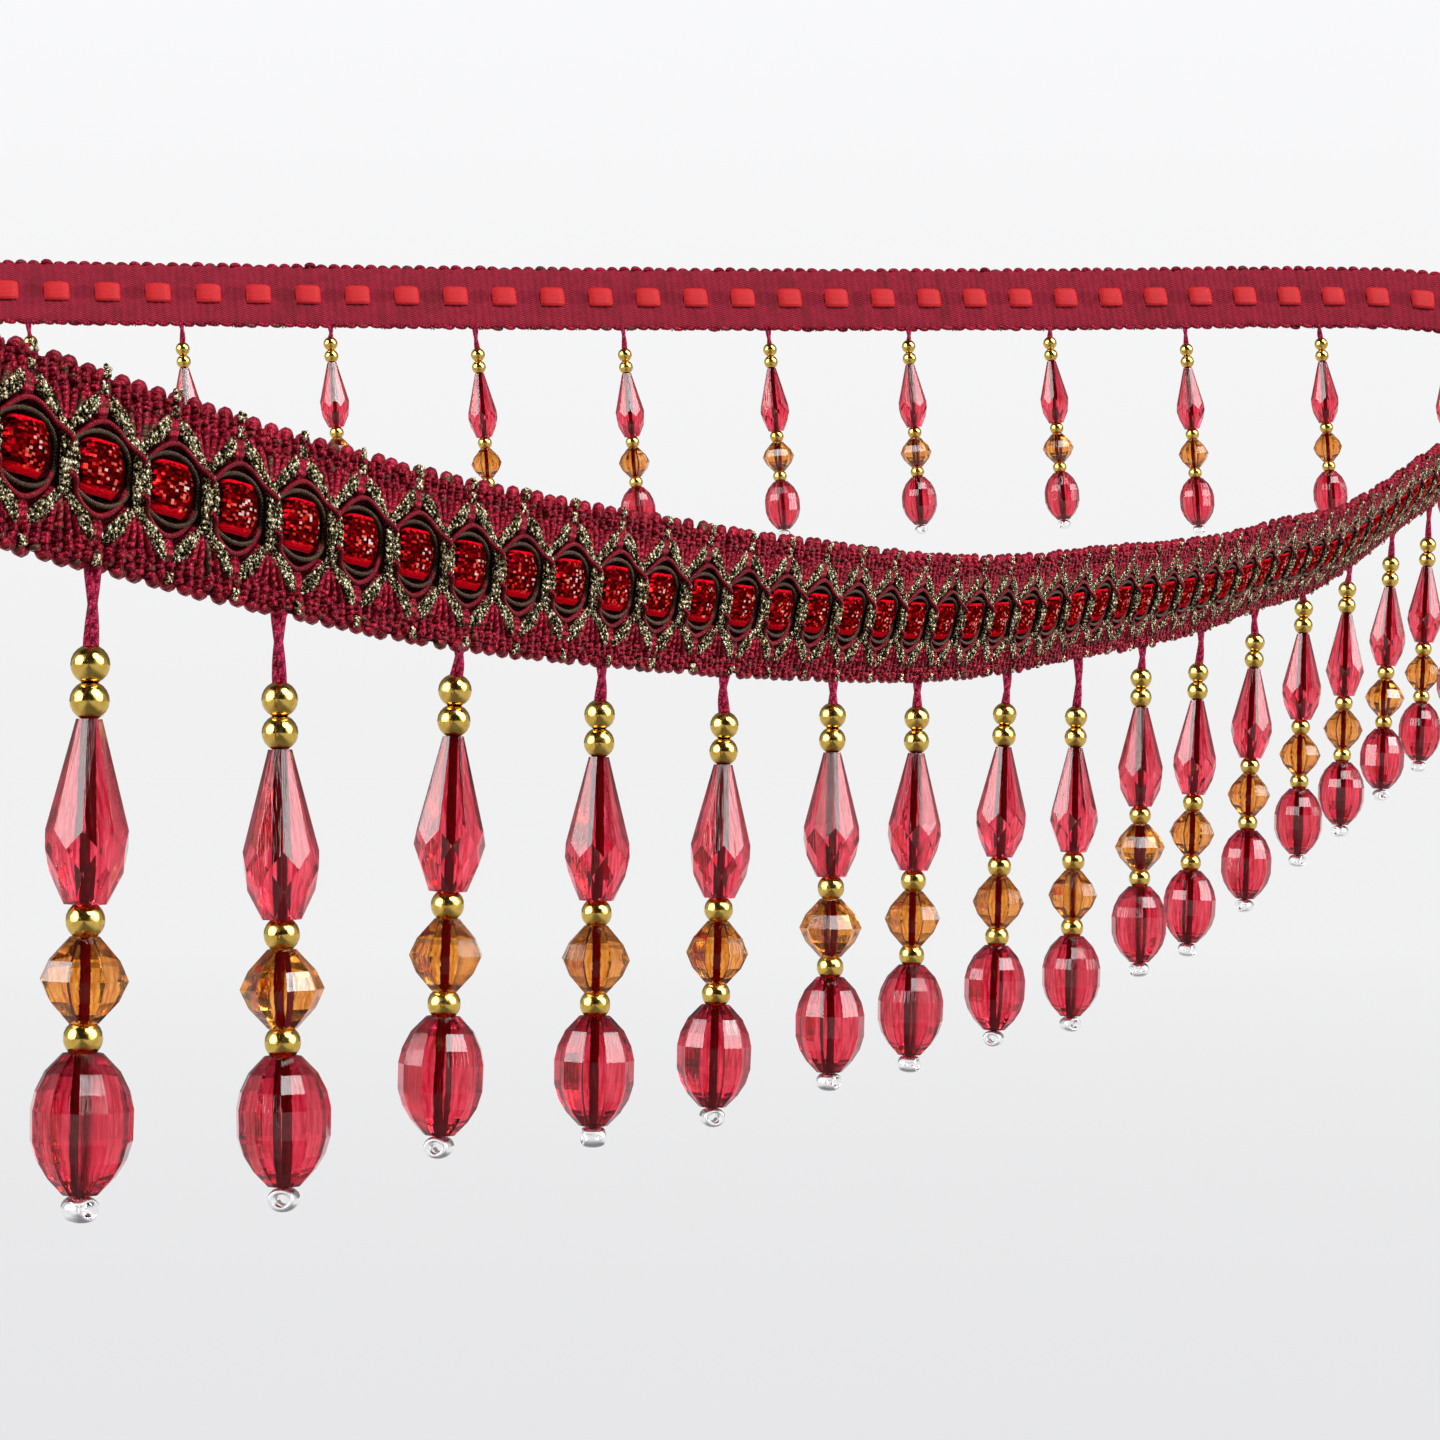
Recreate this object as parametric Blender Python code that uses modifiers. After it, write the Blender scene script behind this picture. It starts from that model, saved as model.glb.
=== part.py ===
"""A length of beaded fringe trim, hung on edge as one long hairpin loop.

A knitted band carries a lattice of metallic braid on its face, with a ribbon threaded under it, and a
row of bead drops hangs from its lower edge. The front run comes towards the viewer's left, the band turns
once at the far right, and the back run returns behind it with its plain side showing.

Sizes are in millimetres and become metres where a point is made. +Z is up, +X is right and +Y goes away
from the viewer. The origin is the hang point, on the band's top edge in the middle of the turn. A place
along the trim is given in drops: 1 is the first drop, 2 the next, and 1.5 lies half way between.
"""

import math

import bmesh
import bpy
from mathutils import Vector

MM = 0.001
COLLECTION = "beaded_fringe_length"
GAP = 0.3

# The trim as it is made
DROP_PITCH = 46.0
DROPS = 33
WINDOWS_PER_DROP = 3
BAND_WIDTH = 20.5
GROUND_THICKNESS = 1.6
COLUMN_WIDTH = 4.5
RIBBON_WIDTH = 6.6
RIBBON_THICKNESS = 0.35
RIBBON_SWELL = 1.2
COLUMN_THICKNESS = 0.7
RIM_THICKNESS = 1.1
HEM_THICKNESS = 0.5
CUT_ALLOWANCE = 0.02

# How it hangs, seen from above: two straight runs and one turn to the left
FRONT_HEADING = math.radians(68.38)
BACK_HEADING = math.radians(193.36)
CORNER_FROM_FIRST_DROP = 994.6
TURN_RADIUS = 35.0

# How high its lower edge runs over a level line, and how far its top edge tips towards its face
PROFILE_COLUMNS = ("drop", "height", "lean_deg")
PROFILE = (
    (0.0, 20.6, 0.0),
    (1.0, 16.2, 0.0),
    (2.0, 12.2, 0.0),
    (3.0, 9.2, 2.0),
    (4.0, 7.8, 6.0),
    (5.0, 6.9, 10.0),
    (6.0, 6.7, 13.0),
    (7.0, 7.0, 14.0),
    (8.0, 9.0, 15.0),
    (9.0, 12.5, 16.0),
    (10.0, 15.6, 18.0),
    (11.0, 19.8, 20.0),
    (12.0, 25.4, 23.0),
    (13.0, 30.3, 25.0),
    (14.0, 38.7, 26.0),
    (15.0, 48.3, 26.0),
    (16.0, 57.2, 26.0),
    (18.0, 77.0, 25.0),
    (20.0, 98.5, 23.0),
    (22.0, 119.5, 21.0),
    (23.0, 128.8, 20.0),
    (24.0, 129.6, 21.0),
    (26.0, 126.8, 22.0),
    (28.0, 124.5, 23.0),
    (30.0, 122.8, 24.0),
    (32.0, 121.6, 25.0),
    (34.0, 120.9, 26.0),
)

# Each drop: how far along the band it is sewn from its even place, how much thread shows over its first
# bead, and how far it swings to the right at its foot
DROP_COLUMNS = ("shift", "thread", "swing_deg")
DROP_TABLE = (
    (1.6, 8.6, -1.1),
    (-1.7, 8.4, 0.5),
    (0.6, 3.8, -2.0),
    (0.9, 5.4, -0.9),
    (2.0, 6.0, -1.8),
    (2.3, 4.3, -0.6),
    (-2.1, 4.9, -1.3),
    (0.9, 6.2, -2.0),
    (-0.7, 10.0, -1.1),
    (-2.2, 5.1, -0.4),
    (-3.0, 7.5, -2.3),
    (-0.9, 6.0, -2.3),
    (-2.0, 2.1, -1.5),
    (-2.5, 4.5, -1.8),
    (1.8, 7.0, -2.6),
    (2.0, 9.2, -2.5),
    (0.0, 5.2, -1.5),
    (0.0, 6.4, -1.0),
    (0.0, 4.1, -0.5),
    (0.0, 7.3, 0.0),
    (0.0, 5.0, 1.0),
    (0.0, 6.1, 2.0),
    (0.0, 4.6, 3.0),
    (-1.9, 4.0, 3.6),
    (-1.1, 5.7, 4.0),
    (-0.8, 3.0, 4.5),
    (0.5, 3.9, 4.0),
    (0.2, 4.9, 4.5),
    (1.3, 6.6, 5.0),
    (1.9, 6.8, 4.5),
    (1.6, 3.7, 4.0),
    (1.1, 5.8, 4.4),
    (0.8, 4.4, 4.2),
)

# The bead stack of one drop, from the thread down. A bead's length is what shows of it: the lower gold beads
# sink a little into the dished ends of the cut ones. An outline's points are a share of the bead's length,
# from its top, and a share of its radius there.
SIDES = 6
THREAD_RADIUS = 0.6
STACK_COLUMNS = ("bead", "length", "radius", "outline")
STACK = (
    ("gold", 3.9, 2.15, ((0.5, 1.0), (1.0, 0.44))),
    ("gold", 3.9, 2.15, ((0.5, 1.0),)),
    ("teardrop", 19.9, 4.6, ((0.0, 0.3), (0.6, 0.94), (0.7, 1.0), (1.0, 0.4))),
    ("gold", 3.5, 2.15, ((0.5, 1.0),)),
    ("amber bicone", 9.3, 5.0, ((0.0, 0.35), (0.5, 1.0), (1.0, 0.35))),
    ("gold", 3.2, 2.15, ((0.5, 1.0),)),
    ("oval", 15.2, 5.6, ((0.0, 0.4), (0.24, 0.89), (0.5, 1.0), (0.76, 0.85), (1.0, 0.38))),
    ("clear stopper", 3.1, 1.9, ((0.5, 1.0), (1.0, 0.6))),
)

FACE = GROUND_THICKNESS / 2
SEAT = FACE + GAP
WINDOW_STEP = 1 / WINDOWS_PER_DROP
HALF_COLUMN = COLUMN_WIDTH / 2 / DROP_PITCH
FIRST_COLUMN = WINDOW_STEP / 2
LAST_COLUMN = DROPS + WINDOW_STEP * 1.5
TRIM_START = FIRST_COLUMN - HALF_COLUMN - CUT_ALLOWANCE
TRIM_END = LAST_COLUMN + HALF_COLUMN + CUT_ALLOWANCE
WINDOWS = round((LAST_COLUMN - FIRST_COLUMN) / WINDOW_STEP)
TURN = BACK_HEADING - FRONT_HEADING
TURN_START = CORNER_FROM_FIRST_DROP - TURN_RADIUS * math.tan(TURN / 2)
TURN_END = TURN_START + TURN_RADIUS * TURN


def along_profile(place, column):
    """A profile column's value at a place along the trim, on one smooth curve through the rows."""
    at = PROFILE_COLUMNS.index(column)
    rows = [(row[0], row[at]) for row in PROFILE]
    last = len(rows) - 1
    i = max(n for n in range(last) if n == 0 or rows[n][0] <= place)
    slopes = []
    for n in (i, i + 1):
        before = rows[max(n - 1, 0)]
        after = rows[min(n + 1, last)]
        slopes.append((after[1] - before[1]) / (after[0] - before[0]))
    span = rows[i + 1][0] - rows[i][0]
    u = (place - rows[i][0]) / span
    start_share = 2 * u**3 - 3 * u**2 + 1
    start_slope = (u**3 - 2 * u**2 + u) * span * slopes[0]
    end_slope = (u**3 - u**2) * span * slopes[1]
    return start_share * rows[i][1] + (1 - start_share) * rows[i + 1][1] + start_slope + end_slope


def climb(place):
    """How fast the lower edge rises at a place, in millimetres for each drop."""
    step = 0.01
    return (along_profile(place + step, "height") - along_profile(place - step, "height")) / (2 * step)


def level_run(place, steps_per_drop=12):
    """The level distance from the first drop to a place, for a trim whose length along itself is fixed."""
    steps = max(1, round(abs(place - 1) * steps_per_drop))
    width = (place - 1) / steps
    middles = (1 + (n + 0.5) * width for n in range(steps))
    return sum(math.sqrt(DROP_PITCH**2 - climb(m) ** 2) * width for m in middles)


def plan(run):
    """Where the trim is, seen from above, after a level run from the first drop, and its heading there."""
    ahead = Vector((math.cos(FRONT_HEADING), math.sin(FRONT_HEADING)))
    if run <= TURN_START:
        return ahead * run, FRONT_HEADING
    turned = min((run - TURN_START) / TURN_RADIUS, TURN)
    heading = FRONT_HEADING + turned
    centre = ahead * TURN_START + Vector((-ahead.y, ahead.x)) * TURN_RADIUS
    point = centre + Vector((math.sin(heading), -math.cos(heading))) * TURN_RADIUS
    if run > TURN_END:
        point += Vector((math.cos(heading), math.sin(heading))) * (run - TURN_END)
    return point, heading


def section(place):
    """The lower edge's point at a place, the way up the band and the way out of its face."""
    point, heading = plan(level_run(place))
    rise = climb(place) / DROP_PITCH
    level = math.sqrt(1 - rise**2)
    forward = Vector((math.cos(heading) * level, math.sin(heading) * level, rise))
    outward = Vector((math.sin(heading), -math.cos(heading), 0))
    upward = outward.cross(forward)
    lean = math.radians(along_profile(place, "lean_deg"))
    up = upward * math.cos(lean) + outward * math.sin(lean)
    face = outward * math.cos(lean) - upward * math.sin(lean)
    return Vector((point.x, point.y, along_profile(place, "height"))), up, face


def turn_middle():
    """The place along the trim at the middle of its turn."""
    low, high = 1.0, float(DROPS)
    while high - low > 1e-4:
        middle = (low + high) / 2
        if level_run(middle) < (TURN_START + TURN_END) / 2:
            low = middle
        else:
            high = middle
    return (low + high) / 2


def hang_point():
    """The top edge's point in the middle of the turn, which is the part's origin."""
    edge, up, _ = section(turn_middle())
    return edge + up * BAND_WIDTH


ORIGIN = hang_point()


def band_point(frame, across, out):
    """A point of the band in metres: across its width from the lower edge, and out of its middle plane."""
    edge, up, face = frame
    return (edge + up * across + face * out - ORIGIN) * MM


def principled(name, colour, roughness, metallic=0.0):
    """A plain material of one colour."""
    material = bpy.data.materials.new(name)
    material.use_nodes = True
    shader = material.node_tree.nodes["Principled BSDF"]
    shader.inputs["Base Color"].default_value = (*colour, 1)
    shader.inputs["Roughness"].default_value = roughness
    shader.inputs["Metallic"].default_value = metallic
    material.diffuse_color = (*colour, 1)
    return material


def add_object(name, mesh, material, parts):
    """An object of the part, with its own material."""
    mesh.materials.append(material)
    obj = bpy.data.objects.new(name, mesh)
    parts.objects.link(obj)
    return obj


def mesh_of(name, bm):
    """The mesh of a closed bmesh, with its faces pointing out."""
    bmesh.ops.recalc_face_normals(bm, faces=bm.faces)
    mesh = bpy.data.meshes.new(name)
    bm.to_mesh(mesh)
    bm.free()
    return mesh


def strip_mesh(name, rings):
    """A closed strip: rings of four points each, joined one to the next and capped at both ends."""
    bm = bmesh.new()
    loops = [[bm.verts.new(point) for point in ring] for ring in rings]
    for a, b in zip(loops, loops[1:]):
        for n in range(4):
            m = (n + 1) % 4
            bm.faces.new((a[n], a[m], b[m], b[n]))
    bm.faces.new(loops[0])
    bm.faces.new(loops[-1])
    return mesh_of(name, bm)


def strip_ring(place, low, high, back, front):
    """The four corners of a strip's section, between two heights across the band and two depths."""
    frame = section(place)
    return [
        band_point(frame, low, back),
        band_point(frame, high, back),
        band_point(frame, high, front),
        band_point(frame, low, front),
    ]


def column_places():
    """The middles of the braid columns, which lie between one window and the next."""
    return [FIRST_COLUMN + n * WINDOW_STEP for n in range(WINDOWS + 1)]


def in_turn(place):
    """True where the band bends, and a window to either side of that."""
    margin = DROP_PITCH * WINDOW_STEP
    return TURN_START - margin < level_run(place) < TURN_END + margin


def ground_places():
    """One section at each column, and in the turn also at the column's edges and the window's middle."""
    places = {TRIM_START, TRIM_END}
    for place in column_places():
        if in_turn(place):
            places |= {place - HALF_COLUMN, place + HALF_COLUMN, place + WINDOW_STEP / 2}
        else:
            places.add(place)
    return sorted(places)


def ground_band(parts):
    """The knitted ground: one thin sheet on edge."""
    rings = [strip_ring(place, 0, BAND_WIDTH, -FACE, FACE) for place in ground_places()]
    material = principled("burgundy_knit", (0.27, 0.018, 0.055), 0.85)
    return add_object("ground_band", strip_mesh("ground_band", rings), material, parts)


def ribbon(parts):
    """The threaded ribbon: low under each column and swelling out of each window."""
    low = (BAND_WIDTH - RIBBON_WIDTH) / 2
    rings = []
    for place in column_places():
        for at, swell in ((place, 0), (place + WINDOW_STEP / 2, RIBBON_SWELL)):
            back = SEAT + swell
            if at <= LAST_COLUMN:
                rings.append(strip_ring(at, low, low + RIBBON_WIDTH, back, back + RIBBON_THICKNESS))
    material = principled("red_ribbon", (0.42, 0.01, 0.02), 0.35, 0.4)
    return add_object("ribbon", strip_mesh("ribbon", rings), material, parts)


# The braid lattice's rows of points, from the lower outline to the upper one: how far each lies from the
# band's middle line, and the depths of its back and front, at a column's edge and at a window's middle
BRIDGE = SEAT + RIBBON_THICKNESS + RIBBON_SWELL * HALF_COLUMN / (WINDOW_STEP / 2) + GAP
LATTICE_COLUMNS = (
    "side",
    "at_column",
    "at_window",
    "column_back",
    "column_front",
    "window_back",
    "window_front",
)
LATTICE_ROWS = (
    (-1, 5.8, 8.0, SEAT, SEAT + HEM_THICKNESS, SEAT, SEAT + HEM_THICKNESS),
    (-1, 3.7, 4.2, BRIDGE, BRIDGE + COLUMN_THICKNESS, SEAT, SEAT + RIM_THICKNESS),
    (1, 3.7, 4.2, BRIDGE, BRIDGE + COLUMN_THICKNESS, SEAT, SEAT + RIM_THICKNESS),
    (1, 5.8, 8.0, SEAT, SEAT + HEM_THICKNESS, SEAT, SEAT + HEM_THICKNESS),
)
OPEN_ROW = 1


def lattice_stations():
    """The lattice's sections in order: each column's two edges, then the middle of the window after it."""
    stations = []
    for place in column_places():
        stations.append((place - HALF_COLUMN, "column", True))
        stations.append((place + HALF_COLUMN, "column", False))
        stations.append((place + WINDOW_STEP / 2, "window", False))
    return stations[:-1]


def braid_lattice(parts):
    """The braid lattice: columns that cross the ribbon, joined above and below each open window."""
    bm = bmesh.new()
    stations = lattice_stations()
    grid = []
    for place, kind, _ in stations:
        frame = section(place)
        rows = []
        for row in LATTICE_ROWS:
            values = dict(zip(LATTICE_COLUMNS, row))
            across = BAND_WIDTH / 2 + values["side"] * values["at_" + kind]
            depths = (values[kind + "_back"], values[kind + "_front"])
            rows.append([bm.verts.new(band_point(frame, across, depth)) for depth in depths])
        grid.append(rows)
    cells = range(len(LATTICE_ROWS) - 1)
    solid = {(n, r) for n in range(len(stations) - 1) for r in cells if stations[n][2] or r != OPEN_ROW}
    for n, r in sorted(solid):
        corners = (grid[n][r], grid[n + 1][r], grid[n + 1][r + 1], grid[n][r + 1])
        for layer in (0, 1):
            bm.faces.new([corner[layer] for corner in corners])
        beside = ((n, r - 1), (n + 1, r), (n, r + 1), (n - 1, r))
        for side, neighbour in enumerate(beside):
            if neighbour not in solid:
                a, b = corners[side], corners[(side + 1) % 4]
                bm.faces.new((a[0], b[0], b[1], a[1]))
    material = principled("metallic_braid", (0.09, 0.07, 0.035), 0.5, 0.5)
    return add_object("braid_lattice", mesh_of("braid_lattice", bm), material, parts)


def stack_outline():
    """Radius and depth of the bead stack's outline, downwards from the top of its first gold bead."""
    outline = []
    top = 0.0
    for row in STACK:
        bead = dict(zip(STACK_COLUMNS, row))
        for share_down, share_out in bead["outline"]:
            outline.append((bead["radius"] * share_out, top + bead["length"] * share_down))
        top += bead["length"]
    return outline


def drop(number, material, parts):
    """One drop: its thread and beads as one turned solid, a hair under the band's lower edge."""
    row = dict(zip(DROP_COLUMNS, DROP_TABLE[number - 1]))
    place = number + row["shift"] / DROP_PITCH
    edge, _, _ = section(place)
    lean = math.radians(along_profile(place, "lean_deg"))
    clear = GAP + FACE * math.sin(lean) + THREAD_RADIUS * abs(climb(place)) / DROP_PITCH
    length = row["thread"] - clear
    outline = [(0, 0), (THREAD_RADIUS, 0), (THREAD_RADIUS, length)]
    outline += [(radius, length + depth) for radius, depth in stack_outline()]
    outline.append((0, outline[-1][1]))
    name = f"drop_{number:02d}"
    mesh = bpy.data.meshes.new(name)
    points = [Vector((radius, 0, -depth)) * MM for radius, depth in outline]
    mesh.from_pydata(points, [(n, n + 1) for n in range(len(points) - 1)], [])
    obj = add_object(name, mesh, material, parts)
    obj.location = (edge - Vector((0, 0, clear)) - ORIGIN) * MM
    obj.rotation_euler = (0, -math.radians(row["swing_deg"]), 0)
    turn = obj.modifiers.new("turned", "SCREW")
    turn.axis = "Z"
    turn.steps = SIDES
    turn.render_steps = SIDES
    turn.use_merge_vertices = True
    turn.merge_threshold = 0.00001
    return obj


def main():
    for obj in list(bpy.data.objects):
        bpy.data.objects.remove(obj, do_unlink=True)
    parts = bpy.data.collections.new(COLLECTION)
    bpy.context.scene.collection.children.link(parts)
    ground_band(parts)
    ribbon(parts)
    braid_lattice(parts)
    beads = principled("ruby_bead", (0.5, 0.02, 0.06), 0.15)
    for number in range(1, DROPS + 1):
        drop(number, beads, parts)


main()
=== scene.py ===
# %% [markdown]
# Beaded fringe trim is a narrow knitted band with a row of bead drops along its lower edge. Shops sell it by
# the metre for curtains, cushions and lampshades. This lesson dresses one hanging length of it, cell by cell.
# The plain solids of the same trim are loaded first and never moved, so each stitch and bead that is made
# here lands at its real place and size.

# %% Load the plain solids
import math

import bpy
import numpy as np
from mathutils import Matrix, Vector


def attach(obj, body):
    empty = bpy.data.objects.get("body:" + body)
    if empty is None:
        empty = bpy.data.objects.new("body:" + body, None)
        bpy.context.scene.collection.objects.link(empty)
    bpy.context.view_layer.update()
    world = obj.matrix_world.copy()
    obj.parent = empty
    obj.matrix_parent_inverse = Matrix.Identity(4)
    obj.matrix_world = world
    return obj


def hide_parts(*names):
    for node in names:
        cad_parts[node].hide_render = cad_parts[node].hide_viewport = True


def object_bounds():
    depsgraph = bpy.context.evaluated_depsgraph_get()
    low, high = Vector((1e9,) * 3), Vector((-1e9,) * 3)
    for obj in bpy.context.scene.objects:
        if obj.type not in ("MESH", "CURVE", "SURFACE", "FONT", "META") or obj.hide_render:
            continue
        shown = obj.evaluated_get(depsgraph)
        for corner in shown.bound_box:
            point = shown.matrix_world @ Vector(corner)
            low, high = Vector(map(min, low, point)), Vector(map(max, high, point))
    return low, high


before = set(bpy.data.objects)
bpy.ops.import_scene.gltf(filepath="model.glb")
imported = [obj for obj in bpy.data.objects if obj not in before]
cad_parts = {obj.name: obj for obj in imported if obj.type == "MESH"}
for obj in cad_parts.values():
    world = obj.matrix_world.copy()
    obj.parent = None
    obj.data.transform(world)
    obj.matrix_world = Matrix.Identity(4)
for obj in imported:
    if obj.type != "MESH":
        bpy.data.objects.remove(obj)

MM = 0.001
cad_low, cad_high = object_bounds()
cad_sizes = [round((high - low) / MM) for low, high in zip(cad_low, cad_high)]
print("Plain solids:", len(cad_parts), "nodes, box", cad_sizes)

# %% [markdown]
# The trim hangs on edge as one long hairpin. A table gives how high its lower edge runs and how far
# it leans at a few drops, and one smooth curve joins the rows. Seen from above it is two straight runs and
# one turn. Blender could bend a straight band with a Curve modifier, but then the drops would tilt with it.
# Working out each point from these measures keeps the drops plumb and everything else on the band.

# %% How the trim is made and how it hangs
DROP_PITCH = 46.0
DROPS = 33
WINDOWS = 100
WINDOW_PITCH = DROP_PITCH / 3
BAND_WIDTH = 20.5
MIDDLE = BAND_WIDTH / 2
FACE = 0.8
GAP = 0.3
COLUMN_WIDTH = 4.5
CUT_ALLOWANCE = 0.92
FRONT_HEADING = math.radians(68.38)
BACK_HEADING = math.radians(193.36)
CORNER_FROM_FIRST_DROP = 994.6
TURN_RADIUS = 35.0

# The profile's columns are the drop, the lower edge's height and the lean in degrees
PROFILE = np.array((
    (0.0, 20.6, 0.0), (1.0, 16.2, 0.0), (2.0, 12.2, 0.0), (3.0, 9.2, 2.0), (4.0, 7.8, 6.0),
    (5.0, 6.9, 10.0), (6.0, 6.7, 13.0), (7.0, 7.0, 14.0), (8.0, 9.0, 15.0), (9.0, 12.5, 16.0),
    (10.0, 15.6, 18.0), (11.0, 19.8, 20.0), (12.0, 25.4, 23.0), (13.0, 30.3, 25.0), (14.0, 38.7, 26.0),
    (15.0, 48.3, 26.0), (16.0, 57.2, 26.0), (18.0, 77.0, 25.0), (20.0, 98.5, 23.0), (22.0, 119.5, 21.0),
    (23.0, 128.8, 20.0), (24.0, 129.6, 21.0), (26.0, 126.8, 22.0), (28.0, 124.5, 23.0),
    (30.0, 122.8, 24.0), (32.0, 121.6, 25.0), (34.0, 120.9, 26.0),
))
HEIGHT, LEAN = 1, 2


def along_profile(place, column):
    """A profile column's values at places along the trim, on one smooth curve through its rows."""
    drops, values = PROFILE[:, 0], PROFILE[:, column]
    before = np.maximum(np.arange(len(drops)) - 1, 0)
    after = np.minimum(np.arange(len(drops)) + 1, len(drops) - 1)
    slopes = (values[after] - values[before]) / (drops[after] - drops[before])
    i = np.clip(np.searchsorted(drops, place, side="right") - 1, 0, len(drops) - 2)
    span = drops[i + 1] - drops[i]
    u = (place - drops[i]) / span
    share = 2 * u**3 - 3 * u**2 + 1
    start = (u**3 - 2 * u**2 + u) * span * slopes[i]
    end = (u**3 - u**2) * span * slopes[i + 1]
    return share * values[i] + (1 - share) * values[i + 1] + start + end


def climb(place):
    """How fast the lower edge rises at places, in millimetres for each drop."""
    return (along_profile(place + 0.01, HEIGHT) - along_profile(place - 0.01, HEIGHT)) / 0.02


STEPS_PER_DROP = 48
run_places = 1 + np.arange(-STEPS_PER_DROP, DROPS * STEPS_PER_DROP + 1) / STEPS_PER_DROP
run_steps = np.sqrt(DROP_PITCH**2 - climb((run_places[1:] + run_places[:-1]) / 2) ** 2) / STEPS_PER_DROP
run_table = np.concatenate(([0.0], np.cumsum(run_steps)))
run_table -= run_table[STEPS_PER_DROP]
print("The trim's level run from the first drop:", round(float(run_table[-1])), "mm")

# %% From a place on the band to a point in the frame
TURN = BACK_HEADING - FRONT_HEADING
TURN_START = CORNER_FROM_FIRST_DROP - TURN_RADIUS * math.tan(TURN / 2)
TURN_END = TURN_START + TURN_RADIUS * TURN


def section(place):
    """The lower edge's points at places along the trim, the way up the band and the way out of its face."""
    run = np.interp(place, run_places, run_table)
    heading = FRONT_HEADING + np.clip((run - TURN_START) / TURN_RADIUS, 0, TURN)
    before = np.minimum(run, TURN_START)
    beyond = np.maximum(run - TURN_END, 0)
    front_x, front_y = math.cos(FRONT_HEADING), math.sin(FRONT_HEADING)
    x = front_x * before + TURN_RADIUS * (np.sin(heading) - front_y) + np.cos(heading) * beyond
    y = front_y * before - TURN_RADIUS * (np.cos(heading) - front_x) + np.sin(heading) * beyond
    edge = np.stack((x, y, along_profile(place, HEIGHT)), -1)
    rise = climb(place) / DROP_PITCH
    level = np.sqrt(1 - rise**2)
    forward = np.stack((np.cos(heading) * level, np.sin(heading) * level, rise), -1)
    outward = np.stack((np.sin(heading), -np.cos(heading), np.zeros_like(heading)), -1)
    upward = np.cross(outward, forward)
    lean = np.radians(along_profile(place, LEAN))[..., None]
    up = upward * np.cos(lean) + outward * np.sin(lean)
    face = outward * np.cos(lean) - upward * np.sin(lean)
    return edge, up, face


middle_place = np.interp((TURN_START + TURN_END) / 2, run_table, run_places)
middle_edge, middle_up, _ = section(np.array(middle_place))
ORIGIN = middle_edge + middle_up * BAND_WIDTH


def lay(points):
    """Band points in millimetres, along from the first drop, across and out, as points of the frame."""
    edge, up, face = section(1 + points[..., 0] / DROP_PITCH)
    return (edge + up * points[..., 1:2] + face * points[..., 2:3] - ORIGIN) * MM


print("The hang point is at place", round(float(middle_place), 2), "and", np.round(ORIGIN, 1), "mm")

# %% [markdown]
# The camera stands level in front of the near end with a long lens, as a product photographer would, so the
# band sweeps from large and near at the left to small at the right and back again behind. It turns a hair to
# the right and its lens is shifted back, which keeps the plumb drops upright in the picture.

# %% Camera
PHOTO_LENS = 102.4
LENS_SHIFT = (-0.0375, 0.0035)
CAMERA_PLACE = (-0.27488, -1.33828, -0.14169)
CAMERA_TURN = -0.0105
camera_data = bpy.data.cameras.new("camera")
camera_data.lens = PHOTO_LENS
camera_data.sensor_width = 36.0
camera_data.shift_x, camera_data.shift_y = LENS_SHIFT
camera_data.clip_start = 0.01
camera_data.clip_end = 100.0
camera = bpy.data.objects.new("camera", camera_data)
camera.location = CAMERA_PLACE
camera.rotation_euler = (math.pi / 2, 0, CAMERA_TURN)
bpy.context.scene.collection.objects.link(camera)
bpy.context.scene.camera = camera
print("Camera at", CAMERA_PLACE, "with a lens of", PHOTO_LENS, "mm")

# %% [markdown]
# Node trees are easier to read when each node is one line. The helpers below add a node, do sums, mix colours
# and read the coordinates and textures that come back in many finishes. A value that is a socket is linked,
# any other value is set, and a node goes into the tree of the socket that feeds it.

# %% Helpers for shader nodes


def add(tree, kind, inputs=None, **settings):
    """A new node of a kind, with its settings, and its inputs by name or number."""
    node = tree.nodes.new(kind)
    for key, value in settings.items():
        setattr(node, key, value)
    for key, value in (inputs or {}).items():
        if isinstance(value, bpy.types.NodeSocket):
            tree.links.new(value, node.inputs[key])
        else:
            node.inputs[key].default_value = value
    return node


def calc(operation, *values):
    """The result of a Math node."""
    tree = next(value.id_data for value in values if isinstance(value, bpy.types.NodeSocket))
    return add(tree, "ShaderNodeMath", dict(enumerate(values)), operation=operation).outputs[0]


def blend(share, first, second):
    """The result of mixing two colours."""
    inputs = {0: share, 6: first, 7: second}
    return add(share.id_data, "ShaderNodeMix", inputs, data_type="RGBA").outputs[2]


def fade(value, low, high, at_low=0.0, at_high=1.0):
    """What runs from one amount to another while a value runs from low to high."""
    inputs = {0: value, 1: low, 2: high, 3: at_low, 4: at_high}
    return add(value.id_data, "ShaderNodeMapRange", inputs).outputs[0]


def calc_vector(operation, vector, other=None, **scale):
    """The results of a Vector Math node."""
    inputs = {0: vector, **({} if other is None else {1: other}), **scale}
    return add(vector.id_data, "ShaderNodeVectorMath", inputs, operation=operation).outputs


def noise(coords, scale, detail=2.0):
    """The value of a Noise Texture at coordinates."""
    inputs = {"Vector": coords, "Scale": scale, "Detail": detail}
    return add(coords.id_data, "ShaderNodeTexNoise", inputs).outputs[0]


def stretch(coords, along, across):
    """Coordinates scaled by one number along and another across."""
    inputs = {"Vector": coords, "Scale": (along, across, 1.0)}
    return add(coords.id_data, "ShaderNodeMapping", inputs).outputs[0]


def split(coords):
    """The X, Y and Z of coordinates."""
    return add(coords.id_data, "ShaderNodeSeparateXYZ", {0: coords}).outputs


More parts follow.
